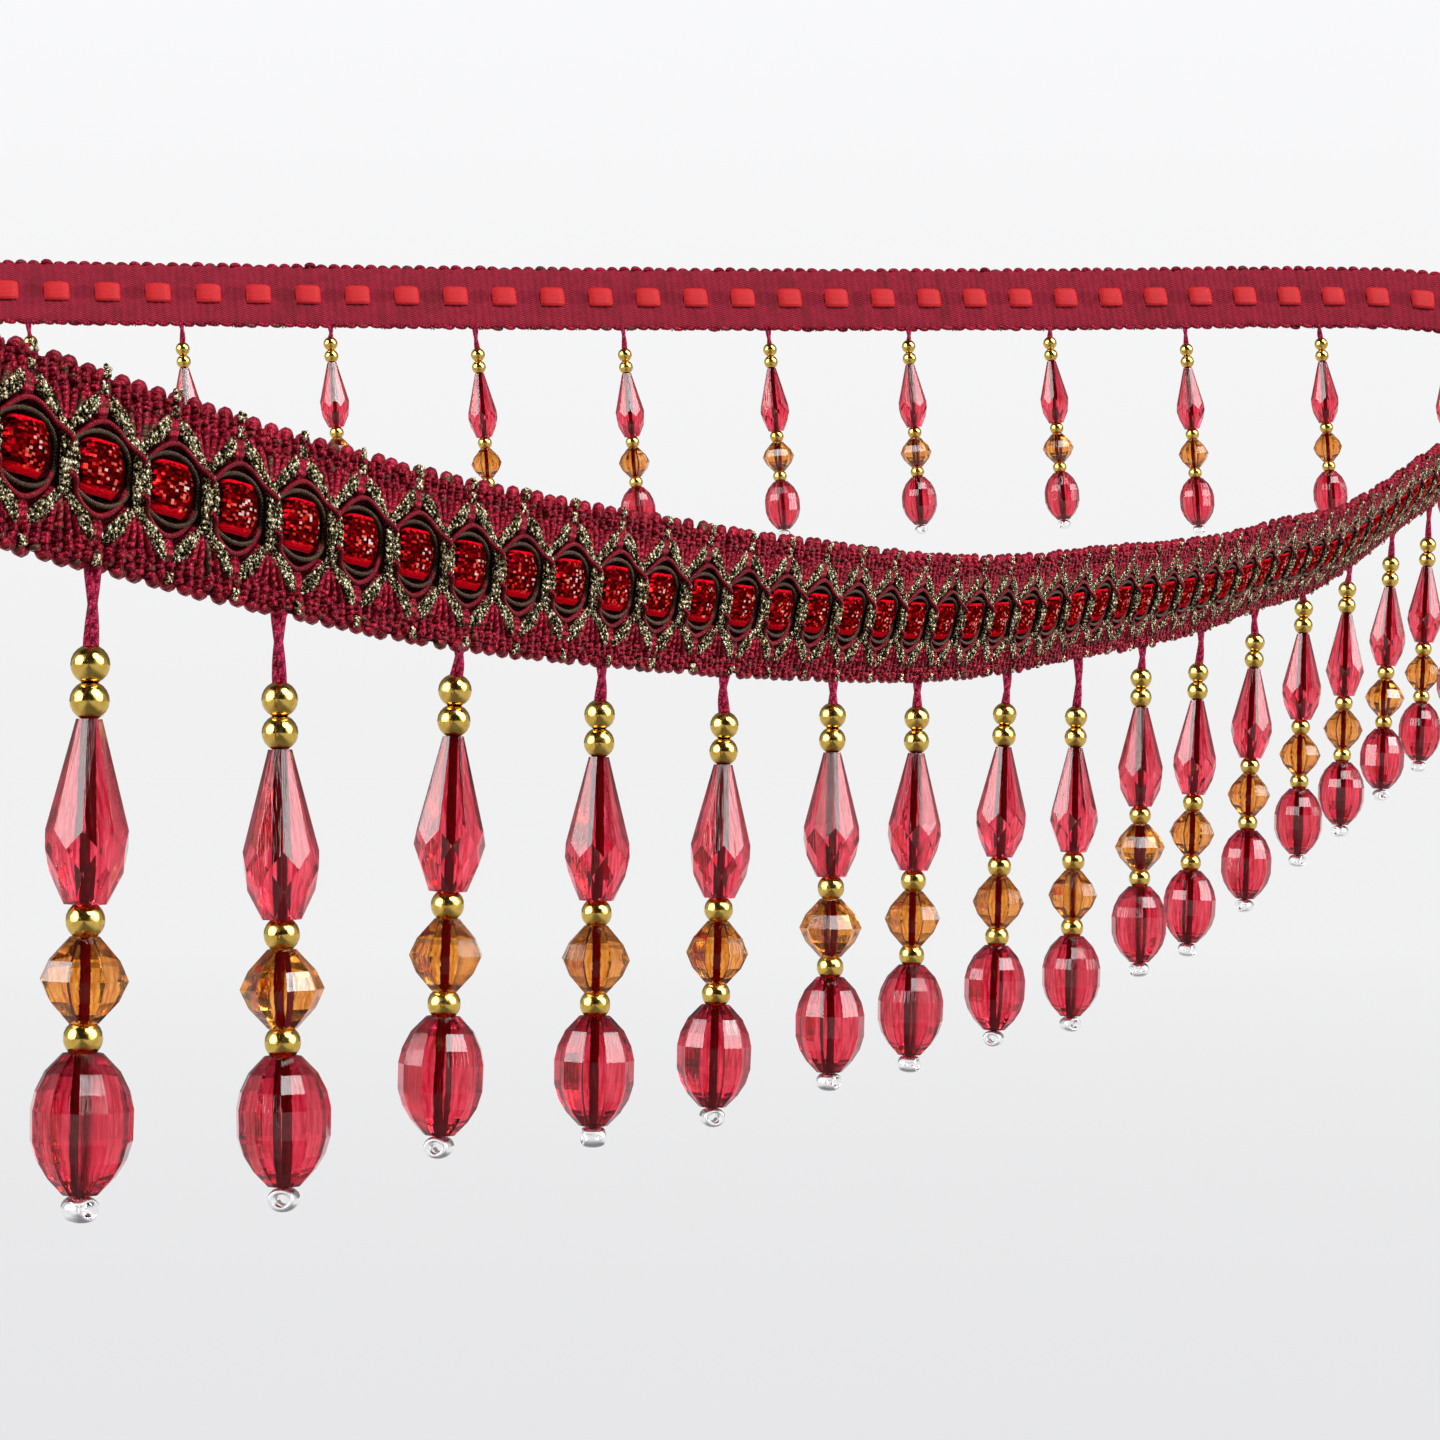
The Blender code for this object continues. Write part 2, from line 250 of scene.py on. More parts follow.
def yarn_millimetres(tree):
    """Coordinates on the mesh: along a yarn or the band, and round or across it."""
    return add(tree, "ShaderNodeUVMap", uv_map="yarn_mm").outputs[0]


def frame_place(tree):
    """Coordinates in the frame, in metres."""
    return add(tree, "ShaderNodeTexCoord").outputs["Object"]


def reading(tree, name):
    """The value that a mesh attribute has at a point."""
    return add(tree, "ShaderNodeAttribute", attribute_name=name).outputs["Fac"]


def feed(node, **values):
    """Leads sockets to a node's inputs, whose names are written with _ for each space."""
    for key, value in values.items():
        node.id_data.links.new(value, node.inputs[key.replace("_", " ")])


def bump(shader, height, distance, strength=1.0):
    """Leads a height in millimetres to a shader's normal."""
    inputs = {"Height": height, "Distance": distance * MM, "Strength": strength}
    feed(shader, Normal=add(shader.id_data, "ShaderNodeBump", inputs).outputs[0])


def new_group(name, inputs, outputs):
    """A shader node group with named sockets: its tree, the inputs' sockets and the node for the outputs."""
    tree = bpy.data.node_groups.new(name, "ShaderNodeTree")
    for socket, kind, value in inputs:
        made = tree.interface.new_socket(socket, in_out="INPUT", socket_type="NodeSocket" + kind)
        made.default_value = value
    for socket, kind in outputs:
        tree.interface.new_socket(socket, in_out="OUTPUT", socket_type="NodeSocket" + kind)
    return tree, tree.nodes.new("NodeGroupInput").outputs, tree.nodes.new("NodeGroupOutput")


def new_material(name, **values):
    """A material with one Principled BSDF: the material, its tree and the shader."""
    material = bpy.data.materials.new(name)
    material.use_nodes = True
    shader = material.node_tree.nodes["Principled BSDF"]
    for key, value in values.items():
        shader.inputs[key.replace("_", " ")].default_value = value
    return material, material.node_tree, shader


# %% [markdown]
# Clear beads show what is behind and around them, so the surroundings matter as much as the beads. The world
# is a pale studio. What the camera sees, also through a bead, is nearly white towards the back. Gold and
# facets only look crisp with something dark to mirror, so towards the photographer the studio is dim, and
# mirror-like light comes from two bright soft boxes, at the left and at the right.

# %% Pale studio
SKY_LOW, SKY_HIGH = (0.876, 0.877, 0.88, 1), (0.945, 0.947, 0.96, 1)
STUDIO_DIM, STUDIO_BRIGHT = (0.035, 0.035, 0.04, 1), (0.98, 0.98, 1.0, 1)
CEILING = 0.8
bpy.context.scene.view_settings.view_transform = "Standard"
world = bpy.data.worlds.new("pale_studio")
bpy.context.scene.world = world
world.use_nodes = True
tree = world.node_tree
direction = add(tree, "ShaderNodeTexCoord").outputs["Generated"]
way = split(direction)
seen = blend(fade(way[2], 0.0, 0.17), SKY_LOW, SKY_HIGH)
aside = calc("ABSOLUTE", way[0])
beyond = fade(way[1], 0.0, 0.5)
brightness = calc("MAXIMUM", fade(aside, 0.5, 0.8), fade(way[2], 0.45, 0.9, 0.0, CEILING))
around = blend(calc("MAXIMUM", brightness, beyond), STUDIO_DIM, STUDIO_BRIGHT)
print("The studio goes from", STUDIO_DIM[:3], "to", STUDIO_BRIGHT[:3])

# %% What gold and facets mirror
# Each soft box has the way to its middle and the cosine at which it ends
SOFT_BOXES = (((-0.86, -0.42, 0.29), 0.88), ((0.9, -0.25, 0.36), 0.92))
BOX_STRENGTH, BOX_BLUR = 9.0, 0.04
WALL_GLEAM, BACK_GLEAM, DARK_GLEAM = 0.6, 0.22, 0.03
boxes = 0.0
for box_way, edge in SOFT_BOXES:
    toward = calc_vector("DOT_PRODUCT", direction, box_way)["Value"]
    boxes = calc("ADD", boxes, fade(toward, edge, edge + BOX_BLUR, 0.0, BOX_STRENGTH))
walls = fade(aside, 0.62, 0.82, 0.0, WALL_GLEAM)
gleam = calc("MAXIMUM", calc("MAXIMUM", walls, calc("MULTIPLY", beyond, BACK_GLEAM)), DARK_GLEAM)
gleam = calc("MAXIMUM", boxes, gleam)
mirrored = add(tree, "ShaderNodeCombineColor", {0: gleam, 1: gleam, 2: gleam}).outputs[0]
print("Soft boxes:", len(SOFT_BOXES), "of strength", BOX_STRENGTH)

# %% Which ray meets which light
DIFFUSE_SHARE = 0.45
ray = add(tree, "ShaderNodeLightPath").outputs
soft_share = calc("SUBTRACT", 1.0, calc("MULTIPLY", ray["Is Diffuse Ray"], 1.0 - DIFFUSE_SHARE))
mirroring = calc("MULTIPLY", ray["Is Glossy Ray"], calc("SUBTRACT", 1.0, ray["Is Transmission Ray"]))
light = blend(mirroring, around, mirrored)
feed(tree.nodes["Background"], Color=blend(ray["Is Camera Ray"], light, seen), Strength=soft_share)

SUN_WAY = (0.55, -0.38, 0.74)
sun_data = bpy.data.lights.new("soft_key", "SUN")
sun_data.energy = 3.1
sun_data.angle = math.radians(35)
sun = bpy.data.objects.new("soft_key", sun_data)
level = math.hypot(SUN_WAY[0], SUN_WAY[1])
sun.rotation_euler = (math.atan2(level, SUN_WAY[2]), 0, math.atan2(SUN_WAY[1], SUN_WAY[0]) + math.pi / 2)
bpy.context.scene.collection.objects.link(sun)
print("The soft key comes from", SUN_WAY)

# %% [markdown]
# The floor lies well below the drops and fades into the world at the horizon, as a sweep of paper does. In
# front of the trim it is dark to all but the camera, as if dark card lay there for the gold to mirror, and
# the picture itself shows plain paper.

# %% Floor
FLOOR_Z, FLOOR_HALF = -0.55, 30.0
PAPER_NEAR, PAPER_FAR = (0.738, 0.74, 0.746, 1), (0.812, 0.814, 0.812, 1)
PAINTED_DIM_STRIP = (0.2, 0.2, 0.21, 1)
DIM_STRIP_LEFT = 0.25
floor_mesh = bpy.data.meshes.new("floor")
corners = [(x * FLOOR_HALF, y * FLOOR_HALF, FLOOR_Z) for x, y in ((-1, -1), (1, -1), (1, 1), (-1, 1))]
floor_mesh.from_pydata(corners, [], [(0, 1, 2, 3)])
floor = bpy.data.objects.new("floor", floor_mesh)
bpy.context.scene.collection.objects.link(floor)
floor_material, tree, shader = new_material("pale_floor", Roughness=0.9, Specular_IOR_Level=0.0)
place = split(frame_place(tree))
# A strip in front of the trim is painted dark to every ray but the camera's: a painted dim reflection for
# gold and beads.
aside = calc("ABSOLUTE", calc("ADD", place[0], DIM_STRIP_LEFT))
lit = calc("MAXIMUM", fade(aside, 0.2, 0.5), fade(place[1], -0.5, 0.0))
lit = calc("MAXIMUM", lit, add(tree, "ShaderNodeLightPath").outputs["Is Camera Ray"])
# The paper is painted darker towards the near side: painted shade at the picture's bottom.
paper = blend(fade(place[1], 0.9, 6.0), PAPER_NEAR, PAPER_FAR)
feed(shader, Base_Color=blend(lit, PAINTED_DIM_STRIP, paper))
floor_mesh.materials.append(floor_material)
print("Floor at", FLOOR_Z, "m")

# %% [markdown]
# The band holds tens of thousands of stitches. One object for each would be slow, and an array modifier
# can't follow a hanging band. So each kind is one joined mesh, worked out as arrays of points on the flat
# band and laid on the hanging one in a single step. A batch of like things is their points, sets of faces
# whose corners carry millimetres along and round the yarn, and a tone for each, which its finish reads.

# %% From batches to a piece
pieces_made = {}


def piece(name, batches, to_frame, materials, nodes=(), smooth=True):
    """One joined mesh of batches, each with its points, face sets and tones, as a piece of the trim."""
    points, tones, face_sets, first = [], [], [], 0
    for batch_points, batch_sets, batch_tones in batches:
        points.append(batch_points)
        tones.append(np.repeat(batch_tones, len(batch_points) // np.size(batch_tones)))
        face_sets += [(faces + first, uvs, finish) for faces, uvs, finish in batch_sets]
        first += len(batch_points)
    mesh = bpy.data.meshes.new(name)
    points = to_frame(np.concatenate(points))
    corners = np.concatenate([faces.ravel() for faces, _, _ in face_sets])
    sizes = np.concatenate([np.full(len(faces), faces.shape[1]) for faces, _, _ in face_sets])
    finishes = np.concatenate([np.full(len(faces), finish) for faces, _, finish in face_sets])
    mesh.vertices.add(len(points))
    mesh.vertices.foreach_set("co", points.astype(np.float32).ravel())
    mesh.loops.add(len(corners))
    mesh.loops.foreach_set("vertex_index", corners.astype(np.int32))
    mesh.polygons.add(len(sizes))
    mesh.polygons.foreach_set("loop_start", (np.cumsum(sizes) - sizes).astype(np.int32))
    mesh.polygons.foreach_set("material_index", finishes.astype(np.int32))
    mesh.polygons.foreach_set("use_smooth", np.full(len(sizes), smooth))
    uv_layer = mesh.uv_layers.new(name="yarn_mm")
    uvs = np.concatenate([uvs.reshape(-1, 2) for _, uvs, _ in face_sets])
    uv_layer.uv.foreach_set("vector", uvs.astype(np.float32).ravel())
    tone = mesh.attributes.new("tone", "FLOAT", "POINT")
    tone.data.foreach_set("value", np.concatenate(tones).astype(np.float32))
    mesh.update(calc_edges=True)
    for material in materials:
        mesh.materials.append(material)
    obj = bpy.data.objects.new(name, mesh)
    bpy.context.scene.collection.objects.link(obj)
    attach(obj, "root")
    if nodes:
        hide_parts(*nodes)
    pieces_made[name] = int((sizes - 2).sum())
    print(name, "has", pieces_made[name], "triangles")
    return obj


# %% Tubes round many paths
def tubes(paths, radius, sides=6, flat=1.0, towards=(0, 0, 1)):
    """Tubes round many paths at once. The radius may differ along a path, and flat squashes it outwards."""
    count, steps = paths.shape[:2]
    ahead = np.gradient(paths, axis=1)
    ahead /= np.linalg.norm(ahead, axis=2, keepdims=True)
    side = np.cross(ahead, np.asarray(towards, float))
    side /= np.maximum(np.linalg.norm(side, axis=2, keepdims=True), 1e-9)
    top = np.cross(side, ahead)
    turn = np.arange(sides) / sides * 2 * math.pi
    ring = np.cos(turn)[:, None] * side[:, :, None] + flat * np.sin(turn)[:, None] * top[:, :, None]
    radius = np.broadcast_to(radius, (count, steps))
    points = paths[:, :, None] + radius[:, :, None, None] * ring
    index = np.arange(count * steps * sides).reshape(count, steps, sides)
    beside = np.roll(index, -1, 2)
    faces = np.stack((index[:, :-1], index[:, 1:], beside[:, 1:], beside[:, :-1]), -1)
    length = np.linalg.norm(np.diff(paths, axis=1), axis=2).cumsum(1)
    length = np.concatenate((np.zeros((count, 1)), length), 1)
    share = np.arange(sides + 1) / sides
    near, far = np.broadcast_to(share[:-1], faces.shape[:3]), np.broadcast_to(share[1:], faces.shape[:3])
    start = np.broadcast_to(length[:, :-1, None], faces.shape[:3])
    end = np.broadcast_to(length[:, 1:, None], faces.shape[:3])
    uvs = np.stack((np.stack((start, end, end, start), -1), np.stack((near, near, far, far), -1)), -1)
    caps = np.concatenate((index[:, 0], index[:, -1, ::-1]))
    cap_uvs = np.zeros((*caps.shape, 2))
    return points.reshape(-1, 3), [(faces.reshape(-1, 4), uvs.reshape(-1, 4, 2), 0), (caps, cap_uvs, 0)]


def smooth_paths(rows, steps):
    """Smooth curves through rows of points, read at even steps. Rows are (paths, points, values)."""
    rows = np.asarray(rows, float)
    last = rows.shape[1] - 1
    at = np.linspace(0, last, steps)
    i = np.minimum(at.astype(int), last - 1)
    t = (at - i)[None, :, None]
    a, b = rows[:, np.maximum(i - 1, 0)], rows[:, i]
    c, d = rows[:, i + 1], rows[:, np.minimum(i + 2, last)]
    return 0.5 * (2 * b + (c - a) * t + (2 * a - 5 * b + 4 * c - d) * t**2 + (3 * b - a - 3 * c + d) * t**3)


# %% Small lumps, each one stitch
def lump_template(rings):
    """A spindle along X with a tip at both ends and square rings between: points and faces."""
    turn = (np.arange(4) + 0.5) * math.pi / 2
    points = [(-1, 0, 0)]
    for x, r in rings:
        points += [(x, r * math.cos(a), r * math.sin(a)) for a in turn]
    points.append((1, 0, 0))
    last = len(points) - 1
    tips = [(0, 1 + (j + 1) % 4, 1 + j) for j in range(4)]
    tips += [(last, last - 4 + j, last - 4 + (j + 1) % 4) for j in range(4)]
    belts = []
    for k in range(len(rings) - 1):
        first = 1 + 4 * k
        belts += [(first + j, first + (j + 1) % 4, first + 4 + (j + 1) % 4, first + 4 + j) for j in range(4)]
    return np.array(points, float), [np.array(faces) for faces in (tips, belts) if faces]


PLUMP = lump_template(((-0.5, 1.15), (0.5, 1.15)))
SLIM = lump_template(((0.0, 1.3),))


def lumps(template, centres, slant, length, width, height):
    """A lump at each centre, turned by its slant in the band's plane and stretched to its own sizes."""
    points, face_arrays = template
    slant, length, width, height = (np.broadcast_to(v, len(centres)) for v in (slant, length, width, height))
    flat = np.zeros(len(centres))
    ahead = np.stack((np.cos(slant), np.sin(slant), flat), -1) * length[:, None] / 2
    side = np.stack((-np.sin(slant), np.cos(slant), flat), -1) * width[:, None] / 2
    top = np.stack((flat, flat, height / 2), -1)
    axes = np.stack((ahead, side, top), 1)
    laid = centres[:, None] + np.einsum("pk,mkj->mpj", points, axes)
    sets = []
    first = np.arange(len(centres))[:, None, None] * len(points)
    corner_uv = np.stack((points[:, 0] * 0.5, np.arctan2(points[:, 2], points[:, 1]) / (2 * math.pi)), -1)
    for faces in face_arrays:
        uvs = np.broadcast_to(corner_uv[faces], (len(centres), *faces.shape, 2))
        sets.append(((first + faces).reshape(-1, faces.shape[1]), uvs.reshape(-1, faces.shape[1], 2), 0))
    return laid.reshape(-1, 3), sets


# %% Thin slabs with a face and a reverse
def slab(front, back, uvs, finishes=(0, 0)):
    """A closed slab between two grids of points that share their UVs: points and face sets."""
    rows, columns = front.shape[:2]
    top = np.arange(rows * columns).reshape(rows, columns)
    under = top + rows * columns
    uv = np.concatenate((uvs.reshape(-1, 2), uvs.reshape(-1, 2)))

    def quads(a, b, c, d):
        return np.stack((a, b, c, d), -1).reshape(-1, 4)

    face = quads(top[:-1, :-1], top[1:, :-1], top[1:, 1:], top[:-1, 1:])
    reverse = quads(under[:-1, :-1], under[:-1, 1:], under[1:, 1:], under[1:, :-1])
    rim = np.concatenate((
        quads(top[0, :-1], top[0, 1:], under[0, 1:], under[0, :-1]),
        quads(top[-1, 1:], top[-1, :-1], under[-1, :-1], under[-1, 1:]),
        quads(top[1:, 0], top[:-1, 0], under[:-1, 0], under[1:, 0]),
        quads(top[:-1, -1], top[1:, -1], under[1:, -1], under[:-1, -1]),
    ))
    sets = [(face, uv[face], finishes[0]), (reverse, uv[reverse], finishes[1]), (rim, uv[rim], finishes[1])]
    return np.concatenate((front.reshape(-1, 3), back.reshape(-1, 3))), sets


rng = np.random.default_rng(46)
trim_start = (1 / 6 - 1) * DROP_PITCH - COLUMN_WIDTH / 2 - CUT_ALLOWANCE
trim_end = (DROPS + 0.5 - 1) * DROP_PITCH + COLUMN_WIDTH / 2 + CUT_ALLOWANCE
windows = (np.arange(WINDOWS) + 1) * WINDOW_PITCH - DROP_PITCH
columns = (np.arange(WINDOWS + 1) + 0.5) * WINDOW_PITCH - DROP_PITCH
print("The trim is", round(trim_end - trim_start), "mm long, with", len(windows), "windows")

# %% [markdown]
# Every burgundy part is the same silky yarn, so its look is built once, as a node group. The group winds a
# ply round the yarn with a wave over millimetres along and turns around, roughens it with fine fibres and
# lets the tone of each stitch shift its colour a little, as a dye lot does.

# %% Yarn effect
YARN_IN = (
    ("Light", "Color", (0.5, 0.05, 0.11, 1)),
    ("Dark", "Color", (0.1, 0.004, 0.018, 1)),
    ("Tone", "Float", 0.5),
    ("Ply Length", "Float", 1.2),
    ("Plies", "Float", 2.0),
)
YARN_OUT = (("Color", "Color"), ("Height", "Float"), ("Roughness", "Float"))
FIBRE_SCALE = 2600.0
tree, into, out = new_group("plied_yarn", YARN_IN, YARN_OUT)
uv = split(yarn_millimetres(tree))
around_plies = calc("MULTIPLY", uv[1], into["Plies"])
phase = calc("ADD", calc("DIVIDE", uv[0], into["Ply Length"]), around_plies)
wave = calc("SINE", calc("MULTIPLY", phase, 2 * math.pi))
ply = fade(wave, -1.0, 1.0)
fibres = noise(frame_place(tree), FIBRE_SCALE, 3.0)
# The ply wave darkens the grooves between plies towards Dark: painted shade. Tone and fibres vary the colour
# at random.
shade = calc("ADD", calc("MULTIPLY", into["Tone"], 0.5), calc("MULTIPLY", ply, 0.3))
shade = calc("ADD", shade, calc("MULTIPLY", calc("SUBTRACT", fibres, 0.45), 0.7))
height = calc("ADD", calc("MULTIPLY", ply, 0.6), calc("MULTIPLY", fibres, 0.8))
roughness = calc("ADD", calc("MULTIPLY", fibres, 0.3), 0.13)
feed(out, Color=blend(shade, into["Dark"], into["Light"]), Height=height, Roughness=roughness)


def yarn_material(name, light, dark, ply_length, plies, relief, brown=None):
    """A material of plied yarn. With a brown, the brightest tones are strands mixed with that colour."""
    sheen = {"Metallic": 0.3, "Specular_IOR_Level": 0.25, "Specular_Tint": (1.0, 0.35, 0.4, 1)}
    material, tree, shader = new_material(name, **sheen)
    tone = reading(tree, "tone")
    inputs = {"Light": light, "Dark": dark, "Tone": tone, "Ply Length": ply_length, "Plies": plies}
    made = add(tree, "ShaderNodeGroup", inputs, node_tree=bpy.data.node_groups["plied_yarn"]).outputs
    colour = made["Color"]
    if brown:
        patch = fade(noise(frame_place(tree), 900.0), 0.42, 0.55)
        colour = blend(calc("MULTIPLY", fade(tone, 0.87, 0.9), patch), colour, brown)
    feed(shader, Base_Color=colour, Roughness=made["Roughness"])
    bump(shader, made["Height"], relief)
    return material


BURGUNDY = (0.55, 0.019, 0.053, 1)
DEEP_BURGUNDY = (0.065, 0.0006, 0.0035, 1)
BROWN = (0.09, 0.05, 0.03, 1)
burgundy_yarn = yarn_material("burgundy_yarn", BURGUNDY, DEEP_BURGUNDY, 0.9, 1.0, 0.32, BROWN)
print("Yarn effect has", len(bpy.data.node_groups["plied_yarn"].nodes), "nodes")

# %% [markdown]
# The ground is one thin knitted sheet. Its ribs run across the band about two millimetres apart, and they
# show on the plain reverse. A bump alone would look flat where the band turns edge on, so the ribs are real
# waves in both sides of the sheet, and the single stitches on them are bump, with painted shade between their
# rows. Inside each window and under the raised braids the finish paints the face near black by the
# millimetres along and across: painted shade of the deep hollow where the ribbon dives through its slit. On
# the reverse a faint painted shade lies behind each window's middle. The face of the sheet lies deep under
# stitches and braids, so it is painted darker than the reverse, as painted shade.

# %% Ground sheet
RIBS_PER_WINDOW = 7
RIB_PITCH = WINDOW_PITCH / RIBS_PER_WINDOW
RIB_RELIEF = 0.22
# The sheet thins to this half thickness over the last millimetres at its edges
EDGE_HALF, EDGE_ROUND = 0.35, 1.2
GROUND_STEP = 0.5
GROUND_ROWS = np.array((0.0, 0.4, 1.4, 5.2, 10.25, 15.3, 19.1, 20.1, 20.5))
edge_share = np.minimum(GROUND_ROWS, BAND_WIDTH - GROUND_ROWS)
half_thickness = EDGE_HALF + (FACE - EDGE_HALF) * np.clip(edge_share / EDGE_ROUND, 0, 1) ** 0.5
ground_along = np.linspace(trim_start, trim_end, round((trim_end - trim_start) / GROUND_STEP))
ribs = RIB_RELIEF * (np.abs(np.cos(math.pi * (ground_along - columns[0]) / RIB_PITCH)) - 0.6)
u, v = np.meshgrid(ground_along, GROUND_ROWS, indexing="ij")
out_of_middle = half_thickness[None, :] + ribs[:, None] * np.clip(edge_share / EDGE_ROUND, 0.3, 1)[None, :]
front = np.stack((u, v, out_of_middle), -1)
back = np.stack((u, v, -out_of_middle), -1)
ground_points, ground_sets = slab(front, back, np.stack((u, v), -1))
print("The ground has", len(ground_points), "points and ribs", round(RIB_PITCH, 2), "mm apart")

# %% Ground finish
ROW_HEIGHT, ROW_SLANT = 0.72, 0.55
REVERSE_DARK, REVERSE_LIGHT = (0.2, 0.018, 0.032, 1), (0.62, 0.044, 0.085, 1)
BROWNISH, FACE_SHADE = (0.14, 0.03, 0.022, 1), (0.03, 0.0008, 0.003, 1)
PAINTED_WINDOW_SHADE, PAINTED_REVERSE_SHADE = (0.02, 0.0008, 0.001, 1), (0.06, 0.002, 0.008, 1)
matt = {"Roughness": 0.6, "Specular_IOR_Level": 0.05, "Specular_Tint": (1.0, 0.3, 0.4, 1)}
knit, tree, shader = new_material("burgundy_knit", **matt)
coords = yarn_millimetres(tree)
uv = split(coords)
rib_share = calc("PINGPONG", calc("SUBTRACT", uv[0], columns[0]), RIB_PITCH / 2)
slanted = calc("ADD", uv[1], calc("MULTIPLY", rib_share, ROW_SLANT))
stitch = calc("SINE", calc("MULTIPLY", slanted, 2 * math.pi / ROW_HEIGHT))
stitch = fade(stitch, -1.0, 1.0)
spot = frame_place(tree)
patches = noise(spot, 350.0, 3.0)
fibres = noise(spot, FIBRE_SCALE, 3.0)
# The stitch wave darkens the knit between rows: painted shade. The patches vary the colour at random.
shade = calc("ADD", calc("MULTIPLY", stitch, 0.45), calc("MULTIPLY", patches, 0.6))
colour = blend(calc("SUBTRACT", shade, 0.05), REVERSE_DARK, REVERSE_LIGHT)
brownish = fade(noise(stretch(coords, 0.22, 0.05), 1.0, 3.0), 0.5, 0.7, 0.0, 0.4)
colour = blend(brownish, colour, BROWNISH)
front_side = reading(tree, "face_side")
colour = blend(calc("MULTIPLY", front_side, 0.8), colour, FACE_SHADE)
along_window = calc("ADD", uv[0], DROP_PITCH - WINDOW_PITCH / 2)
along_window = calc("FLOORED_MODULO", along_window, WINDOW_PITCH)
along_window = calc("SUBTRACT", along_window, WINDOW_PITCH / 2)
across_window = calc("SUBTRACT", uv[1], MIDDLE)


def window_oval(half_long, half_tall):
    """A mask of each window: 1 inside an oval of the given halves in millimetres, fading to 0 at its edge."""
    shares = (calc("DIVIDE", along_window, half_long), calc("DIVIDE", across_window, half_tall))
    squares = [calc("POWER", calc("ABSOLUTE", share), 2.0) for share in shares]
    return fade(calc("ADD", *squares), 1.0, 0.8)


# Painted shade: the face is near black in each window's hollow and under the raised braids beside it.
colour = blend(calc("MULTIPLY", window_oval(8.6, 5.4), front_side), colour, PAINTED_WINDOW_SHADE)
# Painted shade: the reverse is a little darker behind each window's middle, where the ribbon passes in front.
back_side = calc("SUBTRACT", 0.2, calc("MULTIPLY", front_side, 0.2))
colour = blend(calc("MULTIPLY", window_oval(4.0, 2.6), back_side), colour, PAINTED_REVERSE_SHADE)
feed(shader, Base_Color=colour)
bump(shader, calc("ADD", calc("MULTIPLY", stitch, 0.8), calc("MULTIPLY", fibres, 0.4)), 0.4)
batch = (ground_points, ground_sets, 0.45)
ground = piece("knitted_ground", [batch], lay, [knit], ["ground_band"])
side = ground.data.attributes.new("face_side", "FLOAT", "POINT")
side.data.foreach_set("value", (ground_points[:, 2] > 0).astype(np.float32))

# %% [markdown]
# Along both edges the face is thick with knitted stitches. Each rib there is a chain of short oval stitches,
# with a dark gap to the next rib. They catch the light one by one, so each is a small lump of real mesh, a
# little out of line and of its own tone.

# %% Rib stitches along both edges
STITCH_ROW, CHAIN_LENGTH = 0.54, 6
STITCH_LONG, STITCH_WIDE, STITCH_THICK = 1.6, 0.74, 1.2
STITCH_OUT, STITCH_STRAY = FACE + 0.14, (0.14, 0.09, 0.12)
CHAIN = 0.5 + STITCH_ROW * np.arange(CHAIN_LENGTH)
STITCH_ROWS = {"upper_rib_stitches": BAND_WIDTH - CHAIN, "lower_rib_stitches": CHAIN}
ribs_at = np.arange(columns[0], trim_end - 0.5, RIB_PITCH)
ribs_at = np.concatenate((np.arange(columns[0], trim_start + 0.5, -RIB_PITCH)[:0:-1], ribs_at))
for name, rows in STITCH_ROWS.items():
    rib, row = (a.ravel() for a in np.meshgrid(ribs_at, rows, indexing="ij"))
    centres = np.stack((rib, row, np.full(len(rib), STITCH_OUT)), -1)
    centres += rng.normal(0, STITCH_STRAY, centres.shape)
    slant = rng.normal(0.3, 0.2, len(rib))
    long = rng.normal(STITCH_LONG, 0.14, len(rib))
    wide = rng.normal(STITCH_WIDE, 0.06, len(rib))
    made = lumps(PLUMP, centres, slant, long, wide, STITCH_THICK)
    piece(name, [(*made, rng.uniform(0.0, 0.97, len(rib)))], lay, [burgundy_yarn])

# %% [markdown]
# The thread turns back at each edge in a small round loop, a picot. A few are spun with a brown strand.

# %% Picot loops
PICOT_PITCH, PICOT_RADIUS = WINDOW_PITCH / 4, 0.74
picots = np.arange(trim_start + 2.0, trim_end - 1.9, PICOT_PITCH)
arch = np.linspace(0.05, math.pi - 0.05, 8)


def picot_paths(centres, half_width, reach, edge, way):
    """Small arches over an edge of the band, towards one way."""
    sway = rng.normal(0, 0.12, (len(centres), 1))
    tall = reach * rng.uniform(0.8, 1.2, (len(centres), 1))
    u = centres[:, None] - half_width * np.cos(arch) + sway * np.sin(arch)
    v = edge + way * (tall * np.sin(arch) - 0.35)
    n = rng.normal(0.1, 0.25, (len(centres), 1)) + 0.35 * np.cos(arch)
    return np.stack((u, v, n), -1)


both_edges = (picot_paths(picots - 0.2, 1.25, 0.85, BAND_WIDTH, 1), picot_paths(picots, 1.3, 0.5, 0.0, -1))
batches = [(*tubes(paths, PICOT_RADIUS, sides=8), rng.uniform(0.1, 1.0, len(paths))) for paths in both_edges]
piece("picot_loops", batches, lay, [burgundy_yarn])

# %% [markdown]
# Between the braids the burgundy yarn floats over the ground in long strands. From the ends of each column
# they fan out to the ribs, one strand to each, and a few run straight out over each window's point. A table
# says where the fans stand, and a few points of each strand give its rise over the ground.

# %% Floating yarns
FAN, APEX = np.arange(-3, 4), np.arange(-1, 2)
# The columns are the places, the strands, their spacing at the root and at the tip, and from where to where
# they reach out of the band's middle
FANS = ((columns, FAN, 0.5, RIB_PITCH, 3.6, 8.1), (windows, APEX, 0.5, 0.62, 5.3, 8.2))
